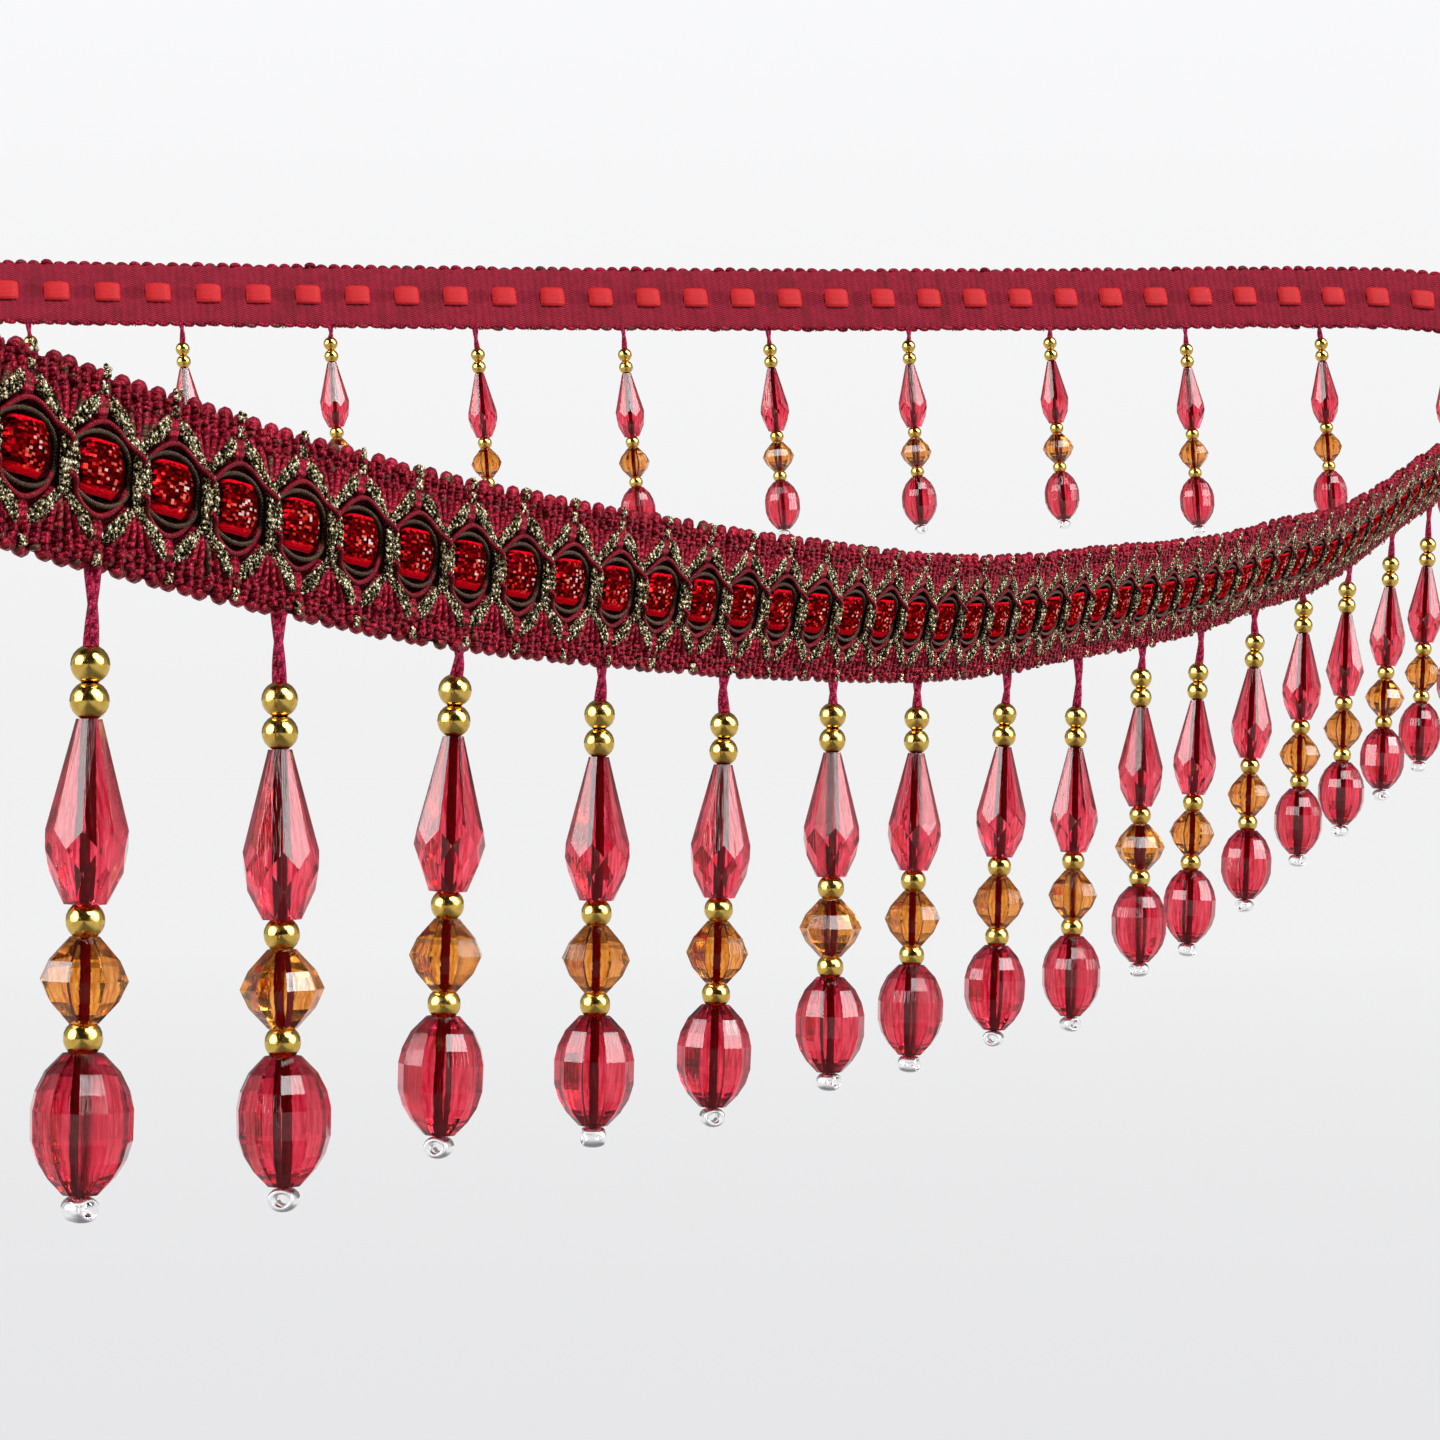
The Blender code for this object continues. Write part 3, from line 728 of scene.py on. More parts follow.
# The columns are the share of a strand's way and how far out of the band it lies there
STRAND_RISE = ((0.0, 1.0), (0.35, 1.3), (0.7, 1.25), (1.0, 0.85))
STRAND_RADIUS = 0.44
paths = []
for way in (-1, 1):
    for spots, strands, root, tip, low, high in FANS:
        spot, strand = (a.ravel() for a in np.meshgrid(spots, strands, indexing="ij"))
        rows = []
        for share, out in STRAND_RISE:
            reach = root + (tip - root) * share**0.8
            v = MIDDLE + way * (low + (high - low) * share) + rng.normal(0, 0.05, len(spot))
            rows.append(np.stack((spot + strand * reach, v, np.full(len(spot), out)), -1))
        paths.append(np.stack(rows, 1))
paths = np.concatenate(paths)
paths = paths[(paths[:, -1, 0] > trim_start) & (paths[:, -1, 0] < trim_end)]
batch = (*tubes(paths, STRAND_RADIUS, sides=5), rng.uniform(0.2, 0.97, len(paths)))
piece("floating_yarns", [batch], lay, [burgundy_yarn])

# %% [markdown]
# Two cords outline each window. The outer one is burgundy, in one arc above and one below. One end of each
# arc slips under a column, and the other hooks over the neck of the next, so the lower arc is the upper one
# turned upside down. The inner cord is olive-brown and pointed where it dives under the columns. Both are
# gimp: a core wound closely with fine thread, which the yarn effect gives with many short plies.

# %% Window cords
# The gimp's ply length, plies and relief
WOUND = (0.42, 1.0, 0.2)
UPPER_ARC = (
    (-6.9, 1.3, 0.7), (-5.6, 2.2, 1.1), (-4.2, 3.4, 1.4), (-2.0, 4.65, 1.55), (0.7, 5.25, 1.55),
    (3.4, 4.6, 1.55), (5.3, 3.5, 1.7), (6.4, 2.8, 2.2), (7.2, 2.1, 2.75), (7.6, 1.6, 2.2),
)
OVAL_HALF_WIDTH, OVAL_HALF_HEIGHT = 7.0, 4.0
at_windows = windows[:, None, None] * (1, 0, 0)
arc = smooth_paths([UPPER_ARC], 21)[0]
arcs = np.concatenate([at_windows + arc * (way, way, 1) + (0, MIDDLE, 0) for way in (-1, 1)])
turn = np.linspace(math.radians(-182), math.radians(182), 27)
oval_u, oval_v = OVAL_HALF_WIDTH * np.cos(turn), OVAL_HALF_HEIGHT * np.sin(turn)
ovals = at_windows + np.stack((oval_u, oval_v + MIDDLE, 0.75 + 0.8 * np.abs(np.sin(turn))), -1)
for cord, even_paths, radius, light, dark, slot in (
    ("burgundy", arcs, 0.35, (0.36, 0.014, 0.03, 1), (0.05, 0.0015, 0.004, 1), "burgundy_yarn"),
    ("brown", ovals, 0.31, (0.13, 0.095, 0.055, 1), (0.01, 0.007, 0.004, 1), "brown_gimp"),
):
    paths = even_paths + rng.normal(0, 0.05, (len(even_paths), 1, 3))
    gimp = yarn_material(cord + "_gimp", light, dark, *WOUND)
    batch = (*tubes(paths, radius), rng.uniform(0.3, 0.8, len(paths)))
    piece(cord + "_window_cords", [batch], lay, [gimp])

# %% [markdown]
# The braids are narrow knitted tapes of black and metallic thread. Two stand side by side as a column, and
# above and below it they part and reach out to the points of the windows. Each is one path with its own
# width, so the same rows of points give the tape under the stitches and the rows of stitches on it. A stitch
# is either dark or gleams, and the finish reads that from its tone.

# %% Braid paths
# The columns are how far along, across and out of the band the path lies, and half of its width
BRAID_HALF = (
    (0.86, 0.0, 1.98, 0.84),
    (0.82, 1.3, 1.92, 0.8),
    (0.6, 2.5, 1.72, 0.62),
    (0.5, 3.4, 1.55, 0.45),
    (1.7, 4.3, 1.35, 0.62),
    (3.5, 5.5, 1.5, 0.88),
    (5.3, 6.65, 1.4, 0.92),
    (6.9, 7.7, 1.15, 0.5),
)
braid_rows = [(a, -c, o, w) for a, c, o, w in BRAID_HALF[:0:-1]] + list(BRAID_HALF)
BRAID_STEPS, TAPE_FLAT = 25, 0.42
sides_of_column = np.array((-1, 1))
spot, way = (a.ravel() for a in np.meshgrid(columns, sides_of_column, indexing="ij"))
path = smooth_paths([braid_rows], 241)[0]
length = np.concatenate(([0], np.linalg.norm(np.diff(path[:, :3], axis=0), axis=1).cumsum()))
print("Each braid's path is", round(float(length[-1]), 1), "mm long")


def along_braid(distances):
    """The braid path's values at distances along it."""
    return np.stack([np.interp(distances, length, path[:, k]) for k in range(4)], -1)


# How far inside a cut end the last braid runs, and over how much it turns to that line
CUT_INSET, CUT_TURN = 0.7, 1.2


def on_column(rows):
    """A path's points, mirrored for each column's left braid and turned beside the cut at a cut end."""
    rows = rows[None] * np.stack((way, np.ones_like(way), np.ones_like(way)), -1)[:, None]
    rows[..., 0] += spot[:, None]
    rows[..., 1] += MIDDLE
    for end, outwards in ((trim_start + CUT_INSET, -1), (trim_end - CUT_INSET, 1)):
        past = np.maximum(outwards * (rows[..., 0] - end) + CUT_TURN, 0)
        rows[..., 0] -= outwards * (past - CUT_TURN * np.tanh(past / CUT_TURN))
    return rows


# %% Braid finish
DARK_THREAD = ((0.005, 0.003, 0.001, 1), (0.035, 0.024, 0.01, 1))
GOLD_THREAD = ((0.36, 0.28, 0.13, 1), (1.0, 0.9, 0.6, 1))
matt = {"Specular_IOR_Level": 0.05, "Specular_Tint": (0.5, 0.4, 0.22, 1)}
braid, tree, shader = new_material("metallic_braid", **matt)
tone = reading(tree, "tone")
grain = noise(frame_place(tree), 3300.0, 1.0)
spread = calc("MULTIPLY", calc("SUBTRACT", grain, 0.5), 3.2)
sparkle = calc("ADD", calc("MULTIPLY", tone, 0.5), spread)
gleam = fade(sparkle, 0.32, 0.44)
metallic = calc("MULTIPLY", gleam, 0.3)
roughness = calc("SUBTRACT", 0.6, calc("MULTIPLY", gleam, 0.3))
colour = blend(gleam, blend(tone, *DARK_THREAD), blend(tone, *GOLD_THREAD))
feed(shader, Base_Color=colour, Metallic=metallic, Roughness=roughness)
bump(shader, grain, 0.1)
print("The braid finish has", len(tree.nodes), "nodes")

# %% Braid tapes
rows = along_braid(np.linspace(0, length[-1], BRAID_STEPS))
batch = (*tubes(on_column(rows[:, :3]), rows[:, 3] * 0.95, flat=TAPE_FLAT), 0.3)
piece("braid_tapes", [batch], lay, [braid], ["braid_lattice"])

# %% Braid stitches
BRAID_ROW, STITCH_LONG, STITCH_THICK = 0.74, 1.02, 0.42
LEGS = np.array((-0.75, -0.25, 0.25, 0.75))
STITCH_SLANT = math.radians(30)
distances = np.arange(0.4, length[-1] - 0.3, BRAID_ROW)
rows = along_braid(distances)
ahead = np.gradient(along_braid(distances)[:, :2], axis=0)
ahead /= np.linalg.norm(ahead, axis=1, keepdims=True)
centres, slants, widths = [], [], []
for leg, zigzag in zip(LEGS, (1, -1, 1, -1)):
    offset = leg * rows[:, 3]
    out = rows[:, 2] + rows[:, 3] * 0.4 * math.sqrt(1 - leg**2) + 0.06
    beside = (rows[:, 0] + ahead[:, 1] * offset, rows[:, 1] - ahead[:, 0] * offset, out)
    centres.append(np.stack(beside, -1))
    slants.append(np.arctan2(ahead[:, 1], ahead[:, 0]) + zigzag * STITCH_SLANT)
    widths.append(rows[:, 3] * 0.56)
centres = on_column(np.concatenate(centres))
slants = np.concatenate(slants)[None] * np.ones((len(spot), 1))
slants = np.where(way[:, None] > 0, slants, math.pi - slants)
widths = np.concatenate(widths)[None] * np.ones((len(spot), 1))
centres = centres.reshape(-1, 3) + rng.normal(0, 0.05, (centres.size // 3, 3))
made = lumps(SLIM, centres, slants.ravel(), STITCH_LONG, widths.ravel(), STITCH_THICK)
batch = (*made, rng.uniform(0, 1, len(centres)))
piece("braid_stitches", [batch], lay, [braid], ["braid_lattice"])

# %% [markdown]
# Where two braids meet at a window's point, their thread shows again as small specks in the ribbed edge: two
# above the point and one below.

# %% Metallic specks in the edges
SPECK_OUT = 1.55
SPECKS = np.array(((0.25, 20.75), (-0.05, 18.9), (0.0, 0.35)))
SPECK_STITCHES = np.array(((-0.45, -0.3), (0.45, -0.25), (0.0, 0.1), (-0.4, 0.5), (0.4, 0.45)))
flat_centres = (windows[:, None, None, None] * (1, 0) + SPECKS[:, None] + SPECK_STITCHES).reshape(-1, 2)
centres = np.column_stack((flat_centres, np.full(len(flat_centres), SPECK_OUT)))
centres += rng.normal(0, 0.08, centres.shape)
made = lumps(PLUMP, centres, rng.uniform(0.8, 2.3, len(centres)), 0.8, 0.46, 0.5)
piece("edge_specks", [(*made, rng.uniform(0.3, 1, len(centres)))], lay, [braid])

# %% [markdown]
# The ribbon is threaded in and out of the band: it swells out of each window like a small pillow, dives
# through a slit beside the column and crosses behind it, where it shows as a dash on the reverse. One closed
# strip follows that whole way. Its face is woven with metal tinsel. Each tiny tinsel cell has its own colour
# and its own tilt, so some cells flash and most stay deep red. The palest cell colours are painted glints,
# gathered towards the middle of each pillow, and the tilt adds real ones. The plain edge runs bright along
# it.

# %% Ribbon strip
RIBBON_HALF, RIBBON_THICK = 3.3, 0.16
RIBBON_ROWS = np.linspace(-1, 1, 7)
# How far each pillow bulges along the band, draws in at its edges and skews
BULGE, DRAW_IN, SKEW = 0.34, 0.08, 0.4
FACE_CURL, BACK_CURL = 0.5, 0.45
# How wide the gathered ribbon is, as a share, at distances out of the band's middle
GATHER_OUT = (-1.75, -1.5, -1.2, -0.8, 1.0, 1.7, 2.2)
GATHER_SHARE = (1.0, 0.95, 0.8, 0.76, 0.84, 0.9, 0.93)
# The columns are how far along and out of the band the ribbon lies, from behind a column to a window's middle
PILLOW = (
    (-7.667, -1.75), (-6.0, -1.72), (-4.3, -1.5), (-3.75, -1.0), (-3.7, 0.0), (-3.7, 1.1), (-3.5, 1.7),
    (-3.0, 2.05), (-2.1, 2.22), (-1.1, 2.28), (0.0, 2.3),
)
half = np.array(list(PILLOW) + [(-u, n) for u, n in PILLOW[-2:0:-1]])
profile_u = np.append(np.tile(half[:, 0], WINDOWS), PILLOW[0][0])
profile_n = np.append(np.tile(half[:, 1], WINDOWS), PILLOW[0][1])
middles = np.append(np.repeat(windows, len(half)), windows[-1] + WINDOW_PITCH)
steps = np.hypot(np.diff(middles + profile_u), np.diff(profile_n))
strip_length = np.concatenate(([0.0], np.cumsum(steps)))
strip_length -= strip_length[len(PILLOW) - 1]
strip_pitch = float(strip_length[len(PILLOW) - 1 + len(half)])

grid_n, share = np.meshgrid(profile_n, RIBBON_ROWS, indexing="ij")
lift = np.clip((grid_n + 1.0) / 2.0, 0, 1)
bulge = profile_u[:, None] * (BULGE * (1 - share**2) - DRAW_IN) + SKEW * share
grid_u = (middles + profile_u)[:, None] + lift * bulge
curl = np.where(grid_n > 0, FACE_CURL * np.abs(share) ** 3, -BACK_CURL * np.abs(share) ** 3)
grid_v = MIDDLE + share * RIBBON_HALF * np.interp(grid_n, GATHER_OUT, GATHER_SHARE)
front = np.stack((grid_u, grid_v, grid_n - curl), -1)
along_strip = np.broadcast_to(strip_length[:, None], share.shape)
ribbon_uv = np.stack((along_strip, share * RIBBON_HALF), -1)
ribbon_batch = (*slab(front, front - (0, 0, RIBBON_THICK), ribbon_uv, (0, 1)), 0.5)
print("The ribbon's strip is", round(float(strip_length[-1] - strip_length[0])), "mm long")

# %% Tinsel finish
CELL_LONG, CELL_TALL = 0.5, 0.32
# The stops run from deep red to near white: the reds are the tinsel's own, the top two stops and the last
# colour are painted glints.
TINSEL_AND_GLINTS = (
    (0.42, (0.07, 0.0003, 0.0015, 1)),
    (0.77, (0.3, 0.001, 0.004, 1)),
    (0.86, (0.9, 0.04, 0.025, 1)),
    (0.93, (1.0, 0.28, 0.2, 1)),
    (0.97, (1.0, 0.6, 0.52, 1)),
)
DEEP_RED, PAINTED_GLINT = (0.015, 0.0002, 0.001, 1), (1.0, 0.92, 0.88, 1)
GLINT_GATHERING = 0.16
tint = {"Specular_IOR_Level": 0.0, "Specular_Tint": (0.8, 0.03, 0.03, 1)}
tinsel, tree, shader = new_material("red_tinsel", Roughness=0.28, **tint)
coords = yarn_millimetres(tree)
uv = split(coords)
cells = {i: calc("FLOOR", calc("DIVIDE", uv[i], size)) for i, size in enumerate((CELL_LONG, CELL_TALL))}
cell = add(tree, "ShaderNodeCombineXYZ", cells).outputs[0]
dice = add(tree, "ShaderNodeTexWhiteNoise", {"Vector": cell}, noise_dimensions="3D").outputs
from_middle = calc("FLOORED_MODULO", calc("ADD", uv[0], strip_pitch / 2 - 0.8), strip_pitch)
from_middle = calc("SUBTRACT", from_middle, strip_pitch / 2)
aside = calc("ABSOLUTE", calc("DIVIDE", from_middle, 3.5))
above = calc("ABSOLUTE", calc("DIVIDE", uv[1], 4.0))
off_centre = calc("SUBTRACT", calc("ADD", aside, above), 0.5)
# Cells nearer the pillow's middle are more often bright: painted glints gathered there.
glint_chance = calc("SUBTRACT", dice["Value"], calc("MULTIPLY", off_centre, GLINT_GATHERING))
ramp = add(tree, "ShaderNodeValToRGB", {0: glint_chance})
stops = ramp.color_ramp.elements
stops[0].color = DEEP_RED
stops[1].position = 1.0
stops[1].color = PAINTED_GLINT
for at, colour in TINSEL_AND_GLINTS:
    stops.new(at).color = colour
print("Tinsel has", len(stops), "colours in cells of", CELL_LONG, "by", CELL_TALL, "mm")

# %% Ribbon's plain edge and tilted cells
EDGE_RED = ((0.42, 0.001, 0.006, 1), (0.85, 0.005, 0.015, 1))
TILT = 0.55
ragged = calc("ADD", uv[1], calc("MULTIPLY", dice["Value"], 0.35))
selvage = calc("MAXIMUM", fade(ragged, -2.15, -2.3), fade(ragged, 3.0, 3.15))
threads = fade(noise(stretch(coords, 0.5, 3.0), 2.2), 0.35, 0.6)
metallic = calc("MULTIPLY", calc("SUBTRACT", 1.0, selvage), 0.55)
feed(shader, Base_Color=blend(selvage, ramp.outputs[0], blend(threads, *EDGE_RED)), Metallic=metallic)
tilt = calc_vector("SUBTRACT", dice["Color"], (0.5, 0.5, 0.5))[0]
tilt = calc_vector("SCALE", tilt, Scale=calc("MULTIPLY", calc("SUBTRACT", 1.0, selvage), TILT))[0]
plain_normal = add(tree, "ShaderNodeNewGeometry").outputs["Normal"]
feed(shader, Normal=calc_vector("NORMALIZE", calc_vector("ADD", plain_normal, tilt)[0])[0])

# %% Ribbon reverse
WOVEN_RED = ((0.52, 0.01, 0.016, 1), (0.7, 0.028, 0.033, 1))
ribbon_back, tree, shader = new_material("matt_red_ribbon", Roughness=0.55, Specular_IOR_Level=0.2)
inputs = {"Vector": yarn_millimetres(tree), "Scale": 0.7, "Distortion": 0.6}
weave = add(tree, "ShaderNodeTexWave", inputs, bands_direction="Y").outputs[1]
feed(shader, Base_Color=blend(weave, *WOVEN_RED))
bump(shader, weave, 0.05)
piece("threaded_ribbon", [ribbon_batch], lay, [tinsel, ribbon_back], ["ribbon"])

# %% [markdown]
# Now the drops. Each hangs plumb or a little aside on two legs of thread, and threads eight beads. They are
# sewn on by hand, so no two places, threads or swings are alike: a table gives all three for each drop, and
# another the stack of beads. Every bead is drilled, and the thread shows inside it as a dark line.

# %% Where each drop hangs
# The columns are how far along the band the drop is sewn from its even place, the thread above its first
# bead, and its swing to the right in degrees
DROP_TABLE = np.array((
    (1.6, 8.6, -1.1), (-1.7, 8.4, 0.5), (0.6, 3.8, -2.0), (0.9, 5.4, -0.9), (2.0, 6.0, -1.8),
    (2.3, 4.3, -0.6), (-2.1, 4.9, -1.3), (0.9, 6.2, -2.0), (-0.7, 10.0, -1.1), (-2.2, 5.1, -0.4),
    (-3.0, 7.5, -2.3), (-0.9, 6.0, -2.3), (-2.0, 2.1, -1.5), (-2.5, 4.5, -1.8), (1.8, 7.0, -2.6),
    (2.0, 9.2, -2.5), (0.0, 5.2, -1.5), (0.0, 6.4, -1.0), (0.0, 4.1, -0.5), (0.0, 7.3, 0.0),
    (0.0, 5.0, 1.0), (0.0, 6.1, 2.0), (0.0, 4.6, 3.0), (-1.9, 4.0, 3.6), (-1.1, 5.7, 4.0),
    (-0.8, 3.0, 4.5), (0.5, 3.9, 4.0), (0.2, 4.9, 4.5), (1.3, 6.6, 5.0), (1.9, 6.8, 4.5), (1.6, 3.7, 4.0),
    (1.1, 5.8, 4.4), (0.8, 4.4, 4.2),
))
GOLD, TEARDROP, AMBER, OVAL, STOPPER = 3.9, 19.9, 9.3, 15.2, 3.1
# The lower gold beads show less of their length, since they sink into the dished ends of the cut beads
MIDDLE_GOLD_SHOWS, LOWER_GOLD_SHOWS = 3.5, 3.2
BEAD_ORDER = (
    ("gold", GOLD), ("gold", GOLD), ("teardrop", TEARDROP), ("gold", MIDDLE_GOLD_SHOWS), ("amber", AMBER),
    ("gold", LOWER_GOLD_SHOWS), ("oval", OVAL), ("stopper", STOPPER),
)
THREAD_HALF = 0.6
drop_places = np.arange(1, DROPS + 1) + DROP_TABLE[:, 0] / DROP_PITCH
drop_edge, _, _ = section(drop_places)
thread_length, swing = DROP_TABLE[:, 1], np.radians(DROP_TABLE[:, 2])
clear = GAP + FACE * np.sin(np.radians(along_profile(drop_places, LEAN)))
clear += THREAD_HALF * np.abs(climb(drop_places)) / DROP_PITCH
pivot = drop_edge - ORIGIN - clear[:, None] * (0, 0, 1)


def hang(local, drops):
    """Points of drops, in millimetres from their pivots with Z up, as points in millimetres of the frame."""
    x, y, z = local[..., 0], local[..., 1], local[..., 2]
    angle = swing[drops].reshape(-1, *[1] * (local.ndim - 2))
    turned = np.stack((x * np.cos(angle) - z * np.sin(angle), y, x * np.sin(angle) + z * np.cos(angle)), -1)
    return turned + pivot[drops].reshape(-1, *[1] * (local.ndim - 2), 3)


def millimetres(points):
    """Points in millimetres as points of the frame."""
    return points * MM


depths = np.concatenate(([0], np.cumsum([length for _, length in BEAD_ORDER])))
bead_tops = {}
for (kind, shown), depth in zip(BEAD_ORDER, depths):
    sunk = (GOLD - shown) / 2 if kind == "gold" else 0.0
    bead_tops.setdefault(kind, []).append(depth - sunk)
drop_nodes = [f"drop_{number:02d}" for number in range(1, DROPS + 1)]
print("A bead stack is", round(float(depths[-1]), 1), "mm long:", bead_tops)

# %% A bead's mesh, at every place it is used
BORE, GOLD_BORE = 0.62, 0.7
DISH = 0.8


def bead_batches(points, polygons, tops, bore_walls=()):
    """A batch for each given depth and drop: a bead with its top at that depth, turned by chance."""
    uvs = np.stack((points[:, 2], np.arctan2(points[:, 1], points[:, 0]) / (2 * math.pi)), -1)
    kinds = [(0, [p for p in polygons if len(p) == size]) for size in sorted({len(p) for p in polygons})]
    if bore_walls:
        kinds.append((1, list(bore_walls)))
    sets = [(np.array(faces), uvs[np.array(faces)], finish) for finish, faces in kinds]
    batches = []
    for top in tops:
        for number in range(DROPS):
            spin = rng.uniform(0, 2 * math.pi)
            x = points[:, 0] * math.cos(spin) - points[:, 1] * math.sin(spin)
            y = points[:, 0] * math.sin(spin) + points[:, 1] * math.cos(spin)
            down = thread_length[number] - clear[number] + top
            local = np.stack((x, y, points[:, 2] - down), -1)
            batches.append((hang(local[None], np.array([number]))[0], sets, rng.uniform(0, 1)))
    return batches


def turned_bead(profile, sides):
    """A closed profile of radius and depth, turned round the bore: points and faces."""
    turn = np.arange(sides) / sides * 2 * math.pi
    points = [(r * math.cos(a), r * math.sin(a), -d) for r, d in profile for a in turn]
    faces = []
    for ring in range(len(profile)):
        below = (ring + 1) % len(profile)
        for j in range(sides):
            k = (j + 1) % sides
            faces.append((ring * sides + j, below * sides + j, below * sides + k, ring * sides + k))
    return np.array(points), faces


# %% [markdown]
# The gold beads are hollow plastic, plated. They are nearly round, with a small lip at the hole. The plating
# is bright, with slight dents and a duller bloom in places.

# %% Gold beads
GOLD_RADIUS = 2.15
LIP, LIP_DEPTH = 0.15, 0.02
BORE_FROM = 0.2
GOLD_DULL, GOLD_BRIGHT = (0.44, 0.25, 0.035, 1), (0.86, 0.6, 0.15, 1)
arc_top = math.asin(GOLD / 2 / GOLD_RADIUS)
profile = [(GOLD_BORE, BORE_FROM), (GOLD_BORE + LIP, LIP_DEPTH)]
for angle in np.linspace(arc_top, -arc_top, 9):
    profile.append((GOLD_RADIUS * math.cos(angle), GOLD / 2 - GOLD_RADIUS * math.sin(angle)))
profile += [(GOLD_BORE + LIP, GOLD - LIP_DEPTH), (GOLD_BORE, GOLD - BORE_FROM)]
gold, tree, shader = new_material("plated_gold", Metallic=1.0)
coords = frame_place(tree)
dents = noise(coords, 420.0)
bloom = noise(coords, 1200.0, 4.0)
feed(shader, Base_Color=blend(bloom, GOLD_DULL, GOLD_BRIGHT), Roughness=fade(bloom, 0.4, 0.75, 0.1, 0.32))
bump(shader, dents, 0.12)
batches = bead_batches(*turned_bead(profile, 18), bead_tops["gold"])
piece("gold_beads", batches, millimetres, [gold], drop_nodes)

# %% [markdown]
# The red and amber beads are cut acrylic. Facets only look right when they are flat and meet in sharp
# edges, so each bead is built from its facets and shaded flat. The teardrop has eight long facets that end in
# points, a belt of diamonds at its widest and kites below. Their corners follow from the long facets' slope.
# The bores are drilled, so their walls are matt. The walls are painted the thread's burgundy, darkened as
# painted shade, and with the thread in them they look like a dark core.

# %% Teardrop facets
TEAR_SIDES = 8
TEAR_TOP, TEAR_WIDEST = 1.3, 4.6
BELT_TOP, WIDEST_AT, BELT_FOOT = 0.6, 0.7, 0.83
half_facet = math.pi / TEAR_SIDES
slope = (TEAR_WIDEST - TEAR_TOP) / WIDEST_AT
belt_top = (TEAR_TOP + slope * BELT_TOP) / math.cos(half_facet)
belt_slope = (TEAR_WIDEST * math.cos(half_facet) - belt_top) / (WIDEST_AT - BELT_TOP)
belt_foot = belt_top + belt_slope * (BELT_FOOT - BELT_TOP)
kite_slope = (belt_foot * math.cos(half_facet) - TEAR_WIDEST) / (BELT_FOOT - WIDEST_AT)
tear_foot = TEAR_WIDEST + kite_slope * (1 - WIDEST_AT)
TEAR_RINGS = (
    (BORE, 0.0, 0), (TEAR_TOP / math.cos(half_facet), 0.0, 0), (belt_top, BELT_TOP, 0),
    (TEAR_WIDEST, WIDEST_AT, half_facet), (belt_foot, BELT_FOOT, 0), (tear_foot, 1.0, half_facet),
    (BORE, 1.0 - DISH / TEARDROP, half_facet),
)
points = np.array([
    (r * math.cos(start + 2 * half_facet * j), r * math.sin(start + 2 * half_facet * j), -share * TEARDROP)
    for r, share, start in TEAR_RINGS for j in range(TEAR_SIDES)
])
bore_top, top, belt, wide, belt_low, foot, bore_foot = (
    [ring * TEAR_SIDES + j for j in range(TEAR_SIDES)] for ring in range(len(TEAR_RINGS))
)
faces, bore_walls = [], []
for j in range(TEAR_SIDES):
    k = (j + 1) % TEAR_SIDES
    faces.append((bore_top[j], top[j], top[k], bore_top[k]))
    faces.append((top[j], belt[j], wide[j], belt[k], top[k]))
    faces.append((belt[k], wide[j], belt_low[k], wide[k]))
    faces.append((wide[j], belt_low[j], foot[j], belt_low[k]))
    faces.append((belt_low[k], foot[j], foot[k]))
    faces.append((foot[j], bore_foot[j], bore_foot[k], foot[k]))
    bore_walls.append((bore_foot[j], bore_top[j], bore_top[k]))
    bore_walls.append((bore_foot[j], bore_top[k], bore_foot[k]))
print("A teardrop has", len(faces), "faces and its foot is", round(2 * tear_foot, 2), "mm wide")


# %% Acrylic and drilled bores
# The bore walls' colours: the thread's burgundy, darkened as painted shade.
BORE_SHADE = ((0.07, 0.001, 0.006, 1), (0.26, 0.005, 0.022, 1))


def acrylic(name, colour, painted_streak_shade):
    """Clear coloured acrylic with faint moulding streaks down the bead, whose dark colour is painted shade.
    """
    values = {"Transmission_Weight": 1.0, "IOR": 1.49, "Roughness": 0.03}
    material, tree, shader = new_material(name, **values)
    streaks = noise(stretch(yarn_millimetres(tree), 0.05, 16.0), 4.0)
    # The streaks' dark colour is painted shade, standing in for the dark bands seen through the back facets.
    feed(shader, Base_Color=blend(fade(streaks, 0.38, 0.6), painted_streak_shade, colour))
    bump(shader, streaks, 0.05, 0.6)
    return material


shaded_bore, tree, shader = new_material("shaded_bore", Roughness=0.8, Specular_IOR_Level=0.0)
feed(shader, Base_Color=blend(noise(frame_place(tree), 1500.0), *BORE_SHADE))
ruby = acrylic("ruby_acrylic", (0.99, 0.095, 0.155, 1), (0.6, 0.004, 0.018, 1))
batches = bead_batches(points, faces, bead_tops["teardrop"], bore_walls)
piece("ruby_teardrops", batches, millimetres, [ruby, shaded_bore], drop_nodes, smooth=False)

# %% [markdown]
# The bicone and the oval are turned shapes with few sides: eight long facets above and below for the amber
# bead, and eleven columns of small ones, ring over ring, for the ruby oval. A short profile turned in steps
# gives both. An end that meets a gold bead is dished, so that the bead sits in it as on the thread.

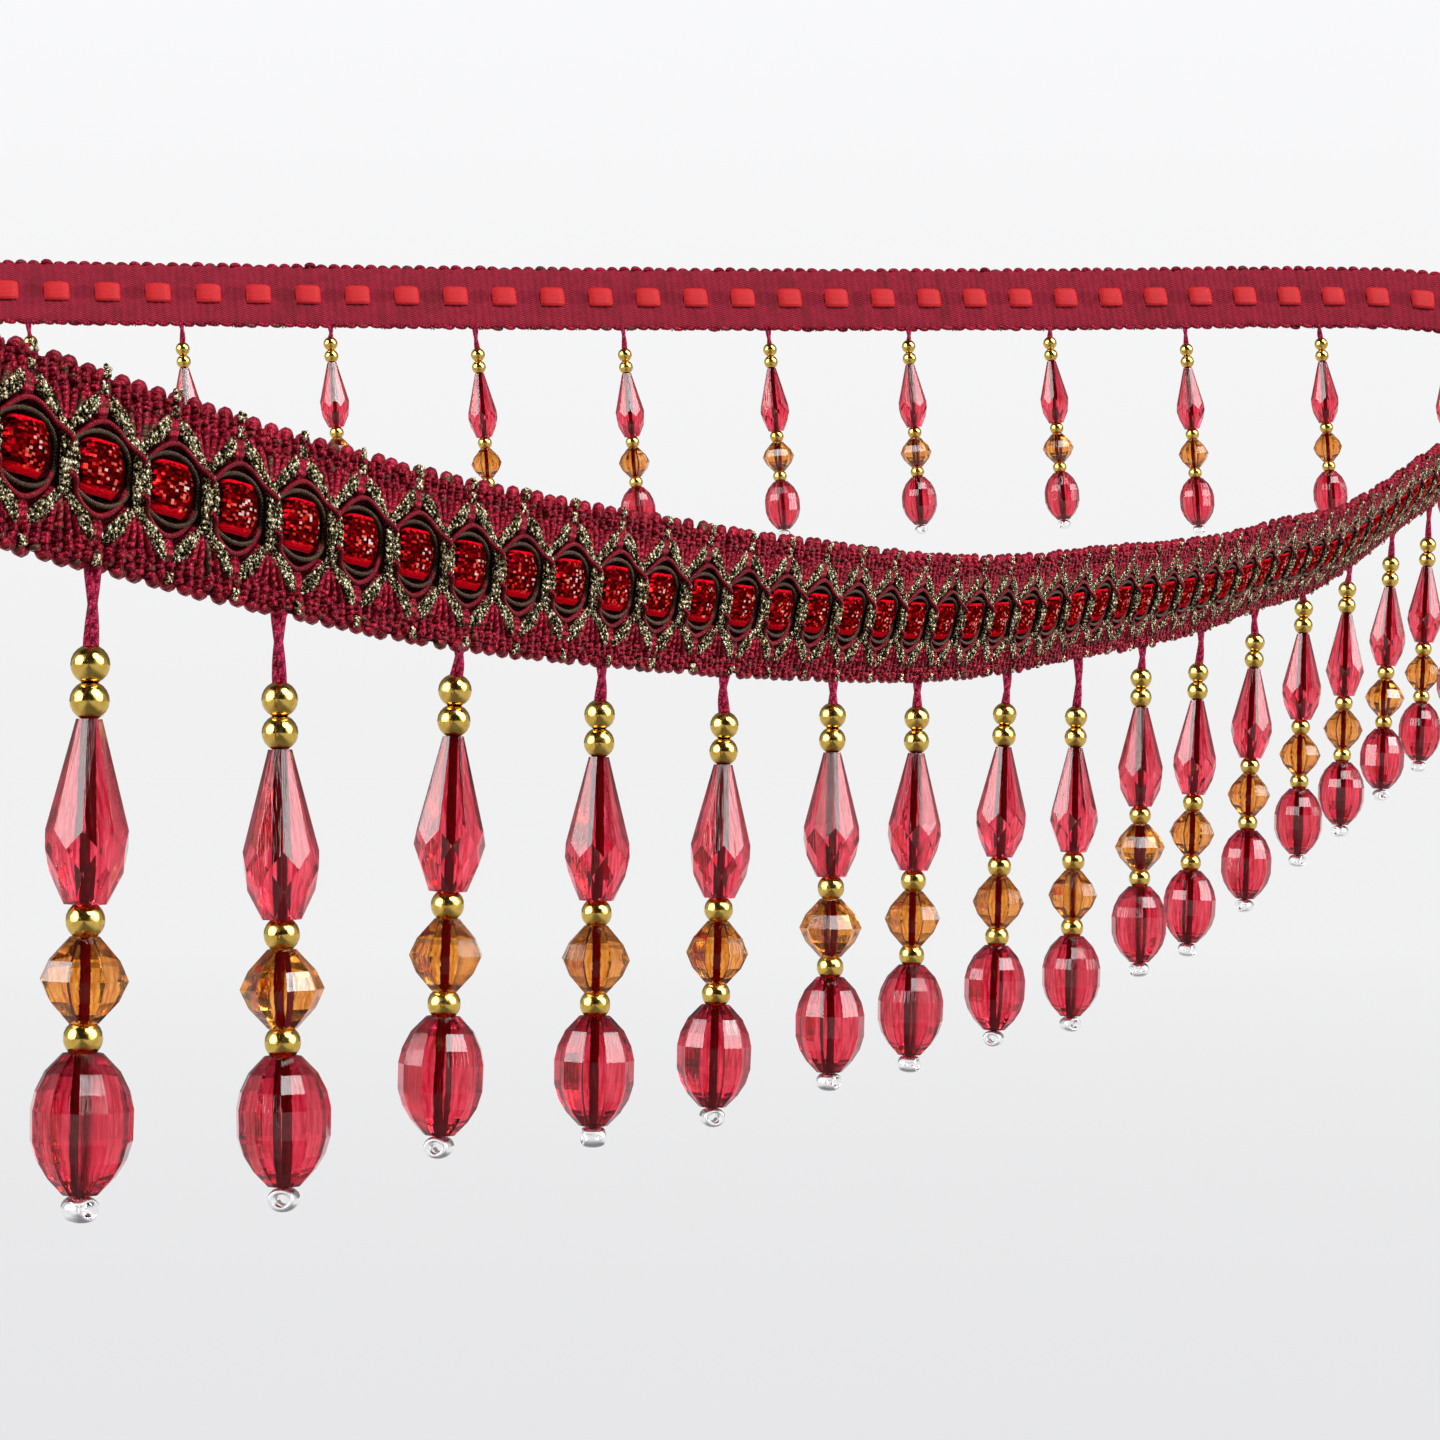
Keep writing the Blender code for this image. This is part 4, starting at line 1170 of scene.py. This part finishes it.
# %% Amber bicones and ruby ovals
# A profile's columns are the radius and the share of the bead's length
AMBER_PROFILE = ((1.7, 0.0), (4.0, 0.27), (5.0, 0.5), (3.95, 0.74), (1.7, 1.0))
OVAL_PROFILE = (
    (2.2, 0.0), (4.1, 0.13), (5.15, 0.27), (5.6, 0.4), (5.55, 0.62), (4.9, 0.76), (3.75, 0.88), (2.0, 1.0),
)
amber = acrylic("amber_acrylic", (0.98, 0.42, 0.07, 1), (0.6, 0.12, 0.006, 1))
deep_ruby = acrylic("deep_ruby_acrylic", (0.93, 0.058, 0.11, 1), (0.5, 0.003, 0.012, 1))
for name, outline, length, sides, kind, material, slot, foot_dish in (
    ("amber_bicones", AMBER_PROFILE, AMBER, 8, "amber", amber, "amber_bead", DISH),
    ("ruby_ovals", OVAL_PROFILE, OVAL, 11, "oval", deep_ruby, "ruby_bead", 0.0),
):
    profile = [(BORE, DISH)] + [(r, share * length) for r, share in outline] + [(BORE, length - foot_dish)]
    points, faces = turned_bead(profile, sides)
    batches = bead_batches(points, faces[:-sides], bead_tops[kind], faces[-sides:])
    piece(name, batches, millimetres, [material, shaded_bore], drop_nodes, smooth=False)

# %% [markdown]
# A small round glass bead stops each drop. The thread goes through its hole, which lies level, and back up.

# %% Clear stoppers
STOPPER_RADIUS, STOPPER_BORE = STOPPER / 2, 0.55
STOPPER_HALF, STOPPER_SPREAD = 1.6, 1.22
PALE_GLASS, WHITE_GLASS = (0.93, 0.93, 0.95, 1), (1.0, 0.99, 0.99, 1)
ring_middle, ring_half = (STOPPER_RADIUS + STOPPER_BORE) / 2, (STOPPER_RADIUS - STOPPER_BORE) / 2
ring = np.linspace(0, 2 * math.pi, 18, endpoint=False)
profile = [(ring_middle + ring_half * math.cos(angle), -STOPPER_HALF * math.sin(angle)) for angle in ring]
points, faces = turned_bead(profile, 18)
points = np.stack((points[:, 2], points[:, 1] * STOPPER_SPREAD, -points[:, 0] - STOPPER_RADIUS), -1)
glass, tree, shader = new_material("clear_glass", Transmission_Weight=1.0, IOR=1.36, Roughness=0.02)
waves = noise(frame_place(tree), 500.0, 1.0)
feed(shader, Base_Color=blend(waves, PALE_GLASS, WHITE_GLASS))
bump(shader, waves, 0.06)
batches = bead_batches(points, faces, bead_tops["stopper"])
piece("clear_stoppers", batches, millimetres, [glass], drop_nodes)

# %% [markdown]
# Each drop's thread is doubled. The two legs leave the band side by side, a little apart, wind round each
# other and enter the first bead together. Below that one line runs through all the bores to the stopper.

# %% Drop threads
LEG_RADIUS, LEG_SPREAD, LEG_STEPS = 0.55, 0.33, 9
# The legs start above the band's lower edge and run on into the first bead
LEG_START, LEG_HIDDEN = 1.6, 2.2
CORE_RADIUS, CORE_SHARES = 0.45, (0, 0.3, 0.6, 1.0)
# The core's tone lies below the yarn's range, which pulls it towards the Dark colour: painted shade on the
# thread in the bores.
LEG_TONE, CORE_SHADE_TONE = 0.6, -0.4
share = np.linspace(0, 1, LEG_STEPS)
numbers = np.arange(DROPS)
show = (thread_length - clear)[:, None]
turns = rng.uniform(0.85, 1.2, (DROPS, 1))
begin = rng.uniform(-0.15, 0.15, (DROPS, 1))
slack = rng.uniform(-0.4, 0.4, (DROPS, 1)) * np.sin(share * math.pi)
loose = 1 + rng.uniform(0.0, 0.6, (DROPS, 1)) * (1 - share) ** 2
phase = (begin + share * turns) * math.pi
batches = []
for way in (-1, 1):
    x = way * LEG_SPREAD * loose * np.cos(phase) + slack
    y = way * LEG_SPREAD * np.sin(phase)
    local = np.stack((x, y, LEG_START - (show + LEG_HIDDEN) * share), -1)
    batches.append((*tubes(hang(local, numbers), LEG_RADIUS, sides=8, towards=(0, 1, 0)), LEG_TONE))
stack_length = depths[-1] - STOPPER
down = -show - stack_length * np.array(CORE_SHARES)
local = np.stack((np.zeros_like(down), np.zeros_like(down), down), -1)
batches.append((*tubes(hang(local, numbers), CORE_RADIUS, towards=(0, 1, 0)), CORE_SHADE_TONE))
thread_yarn = yarn_material("burgundy_thread", (0.55, 0.02, 0.09, 1), DEEP_BURGUNDY, 1.5, 2.0, 0.35)
piece("drop_threads", batches, millimetres, [thread_yarn], drop_nodes)

# %% [markdown]
# The last cell counts the pieces and their triangles.

# %% Pieces and the end
print("Pieces:", len(pieces_made), "with", sum(pieces_made.values()), "triangles")
